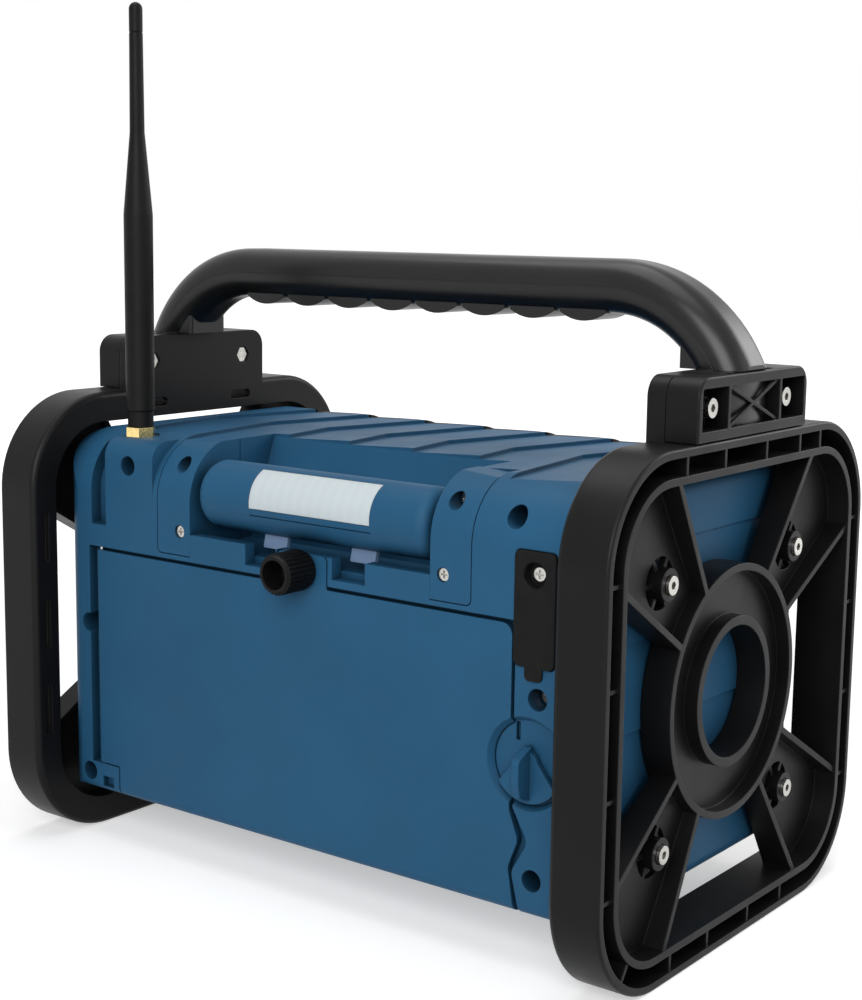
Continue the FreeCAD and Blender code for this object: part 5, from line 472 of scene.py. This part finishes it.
def circuit_board():
    """Green lacquer with a hint of the copper below."""
    material, tree, shader = new_finish("circuit_board", (0.01, 0.09, 0.035), 0.35)
    vary_colour(tree, shader, (0.008, 0.07, 0.028), (0.014, 0.12, 0.045), 0.0015)
    skin(tree, shader, 0.001, 0.00002, 0.0002)
    return material


def pressed_paper():
    """Dark fibrous paper of the loudspeaker cones."""
    material, tree, shader = new_finish("pressed_paper", (0.02, 0.02, 0.02), 0.85)
    vary_colour(tree, shader, (0.014, 0.014, 0.014), (0.035, 0.034, 0.033), 0.001)
    skin(tree, shader, 0.0008, 0.0001, 0.0002)
    return material


metals = {
    "zinc": turned_metal("bright_zinc", (0.50, 0.49, 0.46), 0.24),
    "steel": turned_metal("ground_steel", (0.55, 0.55, 0.55), 0.32),
    "brass": turned_metal("clean_brass", (0.86, 0.66, 0.28), 0.22),
    "nickel": turned_metal("nickel_strip", (0.66, 0.65, 0.60), 0.25),
    "grille": new_finish("painted_grille", (0.015, 0.015, 0.015), 0.5)[0],
    "basket": turned_metal("painted_basket", (0.12, 0.12, 0.12), 0.45),
    "jacket": turned_metal("cell_jacket", (0.25, 0.26, 0.28), 0.38),
}
rubbers = {
    "cover": soft_black("cover_rubber", 0.006, 0.62, 0.0006),
    "antenna": soft_black("antenna_rubber", 0.005, 0.45, 0.0009),
    "seal": soft_black("seal_rubber", 0.015, 0.7, 0.0008),
    "knob": soft_black("knob_black", 0.005, 0.36, 0.0009),
    "button": soft_black("button_grey", 0.06, 0.55, 0.0006),
    "board": circuit_board(),
    "paper": pressed_paper(),
}
print("metals", len(metals), "rubbers", len(rubbers))

# %% [markdown]
# ## Clear parts
#
# The lamp window and the two finger tabs let light through. The window is treated as milky plastic: light
# goes in and comes out a few millimetres away. A wave at the pitch of the chips on the board behind it
# darkens it very slightly, as in a lamp that is switched off. The display's window is plain clear plastic.

# %% Finishes of the clear parts
CHIP_COLUMNS = 12
CHIP_SHADE = 0.14
SOAK = 4 * MM
window_low, window_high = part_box("lamp_diffuser")
CHIP_PITCH = (window_high.x - window_low.x) / CHIP_COLUMNS
WAVE_SCALE = 2 * math.pi / (20 * CHIP_PITCH)


def milky_window():
    """White translucent plastic with the chips behind it faintly visible."""
    material, tree, shader = new_finish("milky_window", (0.52, 0.57, 0.60), 0.4, specular=0.2)
    shader.inputs["Subsurface Weight"].default_value = 0.6
    shader.inputs["Subsurface Radius"].default_value = (SOAK, SOAK, SOAK)
    shader.inputs["Subsurface Scale"].default_value = 0.5
    bands = {"wave_type": "BANDS", "bands_direction": "X", "wave_profile": "SIN"}
    wave = add(tree, "ShaderNodeTexWave", bands, Scale=WAVE_SCALE, Distortion=0.0)
    tree.links.new(place_on_piece(tree), wave.inputs["Vector"])
    mix = add(tree, "ShaderNodeMix", {"data_type": "RGBA"})
    mix.inputs["A"].default_value = (0.53, 0.59, 0.61, 1.0)
    mix.inputs["B"].default_value = (0.46, 0.50, 0.56, 1.0)
    tree.links.new(spread(tree, wave.outputs["Fac"], 0.0, CHIP_SHADE), mix.inputs["Factor"])
    tree.links.new(mix.outputs["Result"], shader.inputs["Base Color"])
    skin(tree, shader, None, 0.0, 0.0004)
    return material


def clear_plastic(name, tint, rough, through):
    """Tinted clear plastic."""
    material, tree, shader = new_finish(name, tint, rough)
    shader.inputs["Transmission Weight"].default_value = through
    shader.inputs["IOR"].default_value = 1.46
    skin(tree, shader, 0.002, 0.00001, 0.0004)
    return material


clears = {
    "window": milky_window(),
    "tab": clear_plastic("tab_plastic", (0.17, 0.26, 0.42), 0.3, 0.3),
    "display": clear_plastic("display_plastic", (0.92, 0.94, 0.94), 0.03, 1.0),
}
print("chip pitch", round(CHIP_PITCH / MM, 2), "mm")

# %% [markdown]
# ## Dressing the solids
#
# Each solid now gets its finish. The list goes by finish, so that it reads like the order for a paint
# shop. The two halves of the rubber cover are on it too, although one skin takes their place below.

# %% Give every solid its finish
DRESS = [
    (plastics["guard"], ["guard_right", "guard_left", "handle_clamp_right", "handle_clamp_left"]),
    (plastics["handle"], ["handle_upper_shell", "handle_lower_shell"]),
    (plastics["blue"], ["rear_housing", "rear_door", "wing_latch", "lamp_tube"]),
    (plastics["blue"], ["lamp_cheek_right", "lamp_cheek_left"]),
    (plastics["front"], ["front_housing"]),
    (plastics["panel"], ["front_panel"]),
    (plastics["inside"], ["port_sockets", "battery_bay"]),
    (plastics["display"], ["display_module"]),
    (rubbers["cover"], ["port_cover_root", "port_cover_flap"]),
    (rubbers["antenna"], ["antenna_whip"]),
    (rubbers["seal"], ["housing_seal", "door_seal"]),
    (rubbers["knob"], ["thumb_screw", "volume_knob", "tuning_knob"]),
    (rubbers["button"], ["push_button_" + str(i) for i in range(1, 6)]),
    (rubbers["board"], ["main_board", "lamp_led_board"]),
    (rubbers["paper"], ["speaker_cone_left", "speaker_cone_right"]),
    (metals["zinc"], ["guard_screws", "handle_clamp_bolts", "handle_clamp_nuts", "housing_screws"]),
    (metals["zinc"], ["lamp_cheek_screws", "port_cover_screw", "speaker_screws"]),
    (metals["steel"], ["door_hinge_pins", "thumb_screw_clip", "wing_latch_clip", "knob_encoders"]),
    (metals["steel"], ["volume_shaft", "tuning_shaft"]),
    (metals["brass"], ["antenna_socket", "thumb_screw_insert"]),
    (metals["nickel"], ["battery_contacts"]),
    (metals["grille"], ["speaker_grille_left", "speaker_grille_right"]),
    (metals["basket"], ["speaker_driver_left", "speaker_driver_right"]),
    (metals["jacket"], ["battery_cells"]),
    (clears["window"], ["lamp_diffuser"]),
    (clears["tab"], ["lamp_tabs"]),
    (clears["display"], ["display_window"]),
]


def dress(name, material):
    """Give one solid its finish."""
    solid = nodes[name]
    if not solid.material_slots:
        solid.data.materials.append(material)
    for slot in solid.material_slots:
        slot.material = material


dressed = set()
for material, names in DRESS:
    for name in names:
        dress(name, material)
        dressed.add(name)
print("dressed", len(dressed), "left", sorted(set(nodes) - dressed))

# %% [markdown]
# ## Tools for new pieces
#
# Everything that is added below is a closed skin over a row of loops, as a boat's planks lie over its ribs.
# Lofting suits thin plates, threads and strokes alike, keeps the faces in tidy rows, and leaves no hole.
# Where one form grows out of another, the two are fused with an exact Boolean, so that no face is left
# inside the rubber.

# %% Helpers for lofted and fused pieces
def new_piece(name, mesh_maker, material):
    """Object from a function that fills a bmesh, with its finish."""
    builder = bmesh.new()
    mesh_maker(builder)
    bmesh.ops.recalc_face_normals(builder, faces=builder.faces)
    mesh = bpy.data.meshes.new(name)
    builder.to_mesh(mesh)
    builder.free()
    mesh.materials.append(material)
    piece = bpy.data.objects.new(name, mesh)
    bpy.context.scene.collection.objects.link(piece)
    return piece


def loft(builder, loops):
    """Skin over loops of equally many points, closed at both ends."""
    rings = [[builder.verts.new(point) for point in loop] for loop in loops]
    for low, high in zip(rings, rings[1:]):
        for i in range(len(low)):
            j = (i + 1) % len(low)
            builder.faces.new((low[i], low[j], high[j], high[i]))
    builder.faces.new(list(reversed(rings[0])))
    builder.faces.new(rings[-1])


def cut_or_fuse(piece, tool, operation):
    """Change a piece by another one, which is used up."""
    step = piece.modifiers.new(operation.lower(), "BOOLEAN")
    step.operation = operation
    step.solver = "EXACT"
    step.object = tool
    graph = bpy.context.evaluated_depsgraph_get()
    mesh = bpy.data.meshes.new_from_object(piece.evaluated_get(graph))
    piece.modifiers.clear()
    piece.data = mesh
    bpy.data.objects.remove(tool)


def round_loop(middle, depths, half, edge, height, steps=3):
    """Level loop of a plate with rounded edges: depths are its back and face."""
    back, face = depths
    points = []
    corners = ((1, face - edge, 0), (-1, face - edge, 90), (-1, back + edge, 180), (1, back + edge, 270))
    for side, y, start in corners:
        x = middle + side * (half - edge)
        for i in range(steps + 1):
            angle = math.radians(start + 90 * i / steps)
            points.append((x + edge * math.cos(angle), y + edge * math.sin(angle), height))
    return points


print("piece helpers ready")

# %% [markdown]
# ## The rubber cover of the sockets
#
# On the real radio this is one moulding: a thin plate with a cup for its screw at the top, a plug behind it
# that fills the socket window, and a pull tab below. It bends where the screwed part ends. As solids it is
# two rigid halves, so here one skin stands for both. The plate comes first. It is drawn as level rows from
# foot to top, which lie close together at the round corners and where the rubber bends.

# %% Draw the plate of the cover
root_low, root_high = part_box("port_cover_root")
flap_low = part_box("port_cover_flap")[0]
COVER_MIDDLE = (root_low.x + root_high.x) / 2
COVER_HALF = (root_high.x - root_low.x) / 2
COVER_FACE = root_high.y
COVER_THICK = 2.2 * MM
COVER_BACK = COVER_FACE - COVER_THICK
PULL_DROP = 5.2 * MM
PLATE_FOOT = flap_low.z + PULL_DROP
PLATE_CORNER = 2.5 * MM
SOFT_EDGE = 0.55 * MM
BEND_HEIGHT = 150.8 * MM
BEND_REACH = 2.4 * MM
ROW_STEP = 4 * MM


def plate_heights():
    """Heights of the rows, close together at the corners and the bend."""
    corner = [PLATE_CORNER * (1 - math.cos(math.radians(15 * i))) for i in range(7)]
    rows = [PLATE_FOOT + step for step in corner] + [root_high.z - step for step in corner]
    rows += [BEND_HEIGHT + BEND_REACH * i / 5 for i in range(-6, 7)]
    rows += [PLATE_FOOT + ROW_STEP * i for i in range(1, 7)]
    return sorted(set(round(row, 6) for row in rows))


def plate_half(height):
    """Half width of the plate at a height: less in its round corners."""
    near_end = min(height - PLATE_FOOT, root_high.z - height)
    if near_end >= PLATE_CORNER:
        return COVER_HALF
    rise = PLATE_CORNER - near_end
    return COVER_HALF - PLATE_CORNER + math.sqrt(max(PLATE_CORNER ** 2 - rise ** 2, 0))


def draw_plate(builder):
    """The thin plate of the cover."""
    depths = (COVER_BACK, COVER_FACE)
    heights = plate_heights()
    loft(builder, [round_loop(COVER_MIDDLE, depths, plate_half(z), SOFT_EDGE, z) for z in heights])


cover = new_piece("port_cover_skin", draw_plate, rubbers["cover"])
print("cover rows", len(plate_heights()), "faces", len(cover.data.polygons))

# %% [markdown]
# The pull tab and the plug are lofted too. Their rows are given as pairs: how high the row lies, and how
# much narrower than the middle it is, which rounds off the ends. The tab is thinner than the plate, so that
# a finger gets under it.

# %% Fuse the pull tab and the plug to the plate
PULL_HALF = 4.0 * MM
PULL_THICK = 1.0 * MM
PULL_EDGE = 0.4 * MM
PULL_SUNK = 0.02 * MM
PULL_ROWS = ((0.0, 1.6), (0.4, 0.7), (1.1, 0.15), (2.0, 0.0), (7.5, 0.0))
PLUG_HALF = 5.0 * MM
PLUG_EDGE = 0.3 * MM
PLUG_FOOT = 126.9
PLUG_TOP = 148.1
PLUG_ROWS = (
    (PLUG_FOOT, 0.6),
    (PLUG_FOOT + 0.3, 0.2),
    (PLUG_FOOT + 0.8, 0.0),
    (PLUG_TOP - 0.8, 0.0),
    (PLUG_TOP, 0.5),
)


def draw_block(depths, half, edge, foot, rows):
    """Function that draws a block on the cover's middle line: rows give rise and narrowing in mm."""
    def draw(builder):
        loops = []
        for rise, inset in rows:
            loops.append(round_loop(COVER_MIDDLE, depths, half - inset * MM, edge, foot + rise * MM))
        loft(builder, loops)
    return draw


pull_depths = (COVER_FACE - PULL_THICK, COVER_FACE - PULL_SUNK)
plug_depths = (flap_low.y, COVER_BACK + PLUG_EDGE)
draw_pull = draw_block(pull_depths, PULL_HALF, PULL_EDGE, flap_low.z, PULL_ROWS)
draw_plug = draw_block(plug_depths, PLUG_HALF, PLUG_EDGE, 0.0, PLUG_ROWS)
for name, maker in (("pull", draw_pull), ("plug", draw_plug)):
    cut_or_fuse(cover, new_piece(name, maker, rubbers["cover"]), "UNION")
print("cover faces with tab and plug", len(cover.data.polygons))

# %% [markdown]
# The cup is turned about the screw's axis: first its outside is fused on, then its inside is cut out, with
# the hole for the shank.

# %% Fuse the cup and cut it out
TURN_STEPS = 48
CUP_RADIUS = 6.2 * MM
CUP_HOLE = 5.0 * MM
CUP_LIP = 0.35 * MM
CUP_FOOT_EDGE = 0.3 * MM
CUP_SUNK = 0.4 * MM
SCREW_HEAD_TALL = 1.2 * MM
SHANK_HOLE = 1.45 * MM
PAST = 1.0 * MM
screw_low, screw_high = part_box("port_cover_screw")
CUP_CENTRE = (screw_low + screw_high) / 2
CUP_FLOOR = screw_high.y - SCREW_HEAD_TALL
CUP_OUTSIDE = (
    (root_low.y, CUP_RADIUS - CUP_FOOT_EDGE),
    (root_low.y + CUP_FOOT_EDGE, CUP_RADIUS),
    (COVER_FACE - CUP_SUNK, CUP_RADIUS),
)
CUP_INSIDE = (
    (root_low.y - PAST, SHANK_HOLE),
    (CUP_FLOOR, SHANK_HOLE),
    (CUP_FLOOR, CUP_HOLE),
    (COVER_FACE - CUP_LIP, CUP_HOLE),
    (COVER_FACE, CUP_HOLE + CUP_LIP),
    (COVER_FACE + PAST, CUP_HOLE + CUP_LIP),
)


def draw_turned(profile):
    """Function that draws a turned shape about the screw: profile gives depths and radii."""
    turns = [2 * math.pi * i / TURN_STEPS for i in range(TURN_STEPS)]

    def circle(depth, radius):
        x, z = CUP_CENTRE.x, CUP_CENTRE.z
        return [(x + radius * math.cos(turn), depth, z + radius * math.sin(turn)) for turn in turns]

    def draw(builder):
        loft(builder, [circle(depth, radius) for depth, radius in profile])
    return draw


for name, profile, operation in (("cup", CUP_OUTSIDE, "UNION"), ("cup_hole", CUP_INSIDE, "DIFFERENCE")):
    cut_or_fuse(cover, new_piece(name, draw_turned(profile), rubbers["cover"]), operation)
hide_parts("port_cover_root", "port_cover_flap")
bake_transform(cover)
print("cover faces", len(cover.data.polygons))

# %% [markdown]
# ## Dust nets behind the loudspeaker grilles
#
# A radio for building sites keeps chips and dust off its cones with a net behind each grille. The net is
# woven from two sets of thin flat threads. Each thread is a chord of a circle, bent over and under those
# that it crosses, so it catches light like cloth through the slots. A picture of a net would not.

# %% Weave the dust nets
NET_RADIUS = 34.0 * MM
NET_PITCH = 2.0 * MM
THREAD_HALF = 0.32 * MM
THREAD_THICK = 0.16 * MM
NET_BEHIND = 0.7 * MM
NET_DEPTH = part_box("speaker_grille_left")[1].y + NET_BEHIND
THREAD_CORNERS = ((-1, -0.4), (1, -0.4), (1, 0.4), (-1, 0.4))


def draw_thread(builder, centre, offset, along_x, parity):
    """One flat thread of the net, over and under its neighbours."""
    chord = math.sqrt(max(NET_RADIUS ** 2 - offset ** 2, 0))
    count = int(chord / NET_PITCH)
    if count < 1:
        return
    loops = []
    for i in range(-count, count + 1):
        wave = THREAD_THICK * (1 if (i + parity) % 2 else -1)
        along = i * NET_PITCH
        loop = []
        for side, lift in THREAD_CORNERS:
            across = offset + side * THREAD_HALF
            x, z = (along, across) if along_x else (across, along)
            loop.append((centre.x + x, NET_DEPTH + wave + lift * THREAD_THICK, centre.z + z))
        loops.append(loop)
    loft(builder, loops)


def weave_net(side):
    """Net behind one grille."""
    low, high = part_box("speaker_grille_" + side)
    centre = (low + high) / 2

    def draw(builder):
        reach = int(NET_RADIUS / NET_PITCH)
        for k in range(-reach, reach + 1):
            draw_thread(builder, centre, k * NET_PITCH, True, k)
            draw_thread(builder, centre, k * NET_PITCH, False, k + 1)

    net = new_piece("dust_net_" + side, draw, plastics["inside"])
    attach(net, "housing")
    return net


nets = [weave_net(side) for side in ("left", "right")]
print("net threads' faces", [len(net.data.polygons) for net in nets])

# %% [markdown]
# ## Marks on the control panel
#
# The photograph shows only the rear, so the front keeps to what any such radio has: a display with a
# frequency, numbered buttons and a ring of ticks round each knob. All marks are thin raised shapes, as
# printed ink is, drawn from the same seven strokes that a digital display uses.

# %% Ink for the marks
def ink(name, colour, rough):
    """Printed ink with a slightly uneven cover."""
    material, tree, shader = new_finish(name, colour, rough, specular=0.2)
    vary_colour(tree, shader, shade(colour, 0.85), colour, 0.0008)
    return material


inks = {
    "white": ink("mark_white", (0.6, 0.6, 0.58), 0.6),
    "dark": ink("display_dark", (0.01, 0.012, 0.012), 0.5),
}
print("inks", sorted(inks))

# %% [markdown]
# Seven strokes can show every figure. Each stroke runs between two corners of a box one wide and one high,
# and each figure is a list of strokes. A stroke is a thin plate with pointed ends.

# %% Draw figures from strokes
MARK_THICK = 0.12 * MM
FIGURE_SLIM = 0.55
STROKE_GAP = 0.35
STROKES = {
    "top": ((0, 1), (1, 1)),
    "upper_left": ((0, 0.5), (0, 1)),
    "upper_right": ((1, 0.5), (1, 1)),
    "middle": ((0, 0.5), (1, 0.5)),
    "lower_left": ((0, 0), (0, 0.5)),
    "lower_right": ((1, 0), (1, 0.5)),
    "foot": ((0, 0), (1, 0)),
}
FIGURES = {
    1: "upper_right lower_right",
    2: "top upper_right middle lower_left foot",
    3: "top upper_right middle lower_right foot",
    4: "upper_left upper_right middle lower_right",
    5: "top upper_left middle lower_right foot",
    8: "top upper_left upper_right middle lower_left lower_right foot",
    9: "top upper_left upper_right middle lower_right foot",
}


def draw_stroke(builder, start, end, half, face):
    """Flat stroke with pointed ends between two places (x, z) on a face towards -Y."""
    (x0, z0), (x1, z1) = start, end
    length = math.hypot(x1 - x0, z1 - z0)
    ux, uz = (x1 - x0) / length, (z1 - z0) / length
    near, far = half, length - half
    outline = ((near, half), (0, 0), (near, -half), (far, -half), (length, 0), (far, half))
    loops = []
    for depth in (face, face - MARK_THICK):
        loops.append([(x0 + ux * a - uz * b, depth, z0 + uz * a + ux * b) for a, b in outline])
    loft(builder, loops)


def draw_figure(builder, figure, corner, height, half, face):
    """One figure. Its lower left corner, for a reader who looks towards +Y, is at corner."""
    width = height * FIGURE_SLIM
    gap = half * STROKE_GAP
    for stroke in FIGURES[figure].split():
        ends = []
        for across, rise in STROKES[stroke]:
            ends.append((corner[0] + across * width, corner[1] + rise * height))
        (xa, za), (xb, zb) = ends
        ux, uz = (1, 0) if za == zb else (0, 1)
        draw_stroke(builder, (xa + ux * gap, za + uz * gap), (xb - ux * gap, zb - uz * gap), half, face)


print("figures", sorted(FIGURES))

# %% [markdown]
# The display shows a frequency with a point before its last figure, and beside it five bars for the strength
# of the signal. Its strokes stand inside the clear window, just in front of the display's grey-green back,
# where the liquid crystal of a real one is.

# %% Draw the frequency and the signal bars
FREQUENCY = (9, 8, 5)
FREQUENCY_LEFT = -17.0 * MM
FREQUENCY_RISE = 11.0 * MM
DIGIT_HEIGHT = 13.0 * MM
DIGIT_STEP = 11.0 * MM
DIGIT_HALF = 0.75 * MM
POINT_ROOM = 3.0 * MM
POINT_BACK = 2.0 * MM
POINT_LENGTH = 1.6 * MM
POINT_HALF = 0.7 * MM
BAR_COUNT = 5
BAR_LEFT = 21.0 * MM
BAR_STEP = 2.0 * MM
BAR_SHORTEST = 2.5 * MM
BAR_HALF = 0.6 * MM
IN_FRONT = 0.5 * MM
module_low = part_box("display_module")[0]
DISPLAY_FACE = module_low.y - IN_FRONT
FIGURE_FOOT = module_low.z + FREQUENCY_RISE


def draw_display(builder):
    """Frequency with its point, and the signal bars."""
    last = len(FREQUENCY) - 1
    for i, figure in enumerate(FREQUENCY):
        left = FREQUENCY_LEFT + i * DIGIT_STEP + (POINT_ROOM if i == last else 0.0)
        draw_figure(builder, figure, (left, FIGURE_FOOT), DIGIT_HEIGHT, DIGIT_HALF, DISPLAY_FACE)
    point = FREQUENCY_LEFT + last * DIGIT_STEP - POINT_BACK
    point_end = (point + POINT_LENGTH, FIGURE_FOOT)
    draw_stroke(builder, (point, FIGURE_FOOT), point_end, POINT_HALF, DISPLAY_FACE)
    for i in range(BAR_COUNT):
        x = BAR_LEFT + i * BAR_STEP
        bar_top = FIGURE_FOOT + BAR_SHORTEST + i * BAR_STEP
        draw_stroke(builder, (x, FIGURE_FOOT), (x, bar_top), BAR_HALF, DISPLAY_FACE)


print("display face", round(DISPLAY_FACE / MM, 2), "mm")

# %% [markdown]
# The panel has a number above each button and a ring of ticks round each knob, from lower left over the top
# to lower right, with every fifth tick longer. The pointer line is on the knob and turns with it.

# %% Draw the numbers, the ticks and the pointers
PANEL_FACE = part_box("front_panel")[0].y
NUMBER_HEIGHT = 3.0 * MM
NUMBER_LEFT = 0.8 * MM
NUMBER_RISE = 2.2 * MM
FINE_HALF = 0.22 * MM
TICK_START = 16.6 * MM
TICK_SHORT = 17.8 * MM
TICK_LONG = 18.6 * MM
DIAL_START = 225
DIAL_SWEEP = 270
POINTER_START = 5.0 * MM
POINTER_END = 12.5 * MM
POINTER_HALF = 0.45 * MM
POINTER_SUNK = 0.03 * MM


def draw_button_numbers(builder):
    """Number above each button."""
    for i in range(1, 6):
        low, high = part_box("push_button_" + str(i))
        corner = ((low.x + high.x) / 2 - NUMBER_LEFT, high.z + NUMBER_RISE)
        draw_figure(builder, i, corner, NUMBER_HEIGHT, FINE_HALF, PANEL_FACE)


def draw_dial(name, turns):
    """Function that draws the ticks round one knob."""
    low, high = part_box(name)
    centre = (low + high) / 2

    def draw(builder):
        for i in range(turns + 1):
            angle = math.radians(DIAL_START - DIAL_SWEEP * i / turns)
            ux, uz = math.cos(angle), math.sin(angle)
            reach = TICK_LONG if i % 5 == 0 else TICK_SHORT
            start = (centre.x + TICK_START * ux, centre.z + TICK_START * uz)
            end = (centre.x + reach * ux, centre.z + reach * uz)
            draw_stroke(builder, start, end, FINE_HALF, PANEL_FACE)
    return draw


def draw_pointer(name):
    """Function that draws the pointer line on a knob's cap."""
    low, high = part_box(name)
    centre = (low + high) / 2

    def draw(builder):
        start = (centre.x, centre.z + POINTER_START)
        end = (centre.x, centre.z + POINTER_END)
        draw_stroke(builder, start, end, POINTER_HALF, low.y + POINTER_SUNK)
    return draw


MARKS = (
    ("display_figures", draw_display, "dark", "housing"),
    ("button_numbers", draw_button_numbers, "white", "housing"),
    ("volume_ticks", draw_dial("volume_knob", 10), "white", "housing"),
    ("tuning_ticks", draw_dial("tuning_knob", 20), "white", "housing"),
    ("volume_pointer", draw_pointer("volume_knob"), "white", "volume"),
    ("tuning_pointer", draw_pointer("tuning_knob"), "white", "tuning"),
)
for name, maker, colour, body in MARKS:
    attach(new_piece(name, maker, inks[colour]), body)
print("marks", [mark[0] for mark in MARKS])
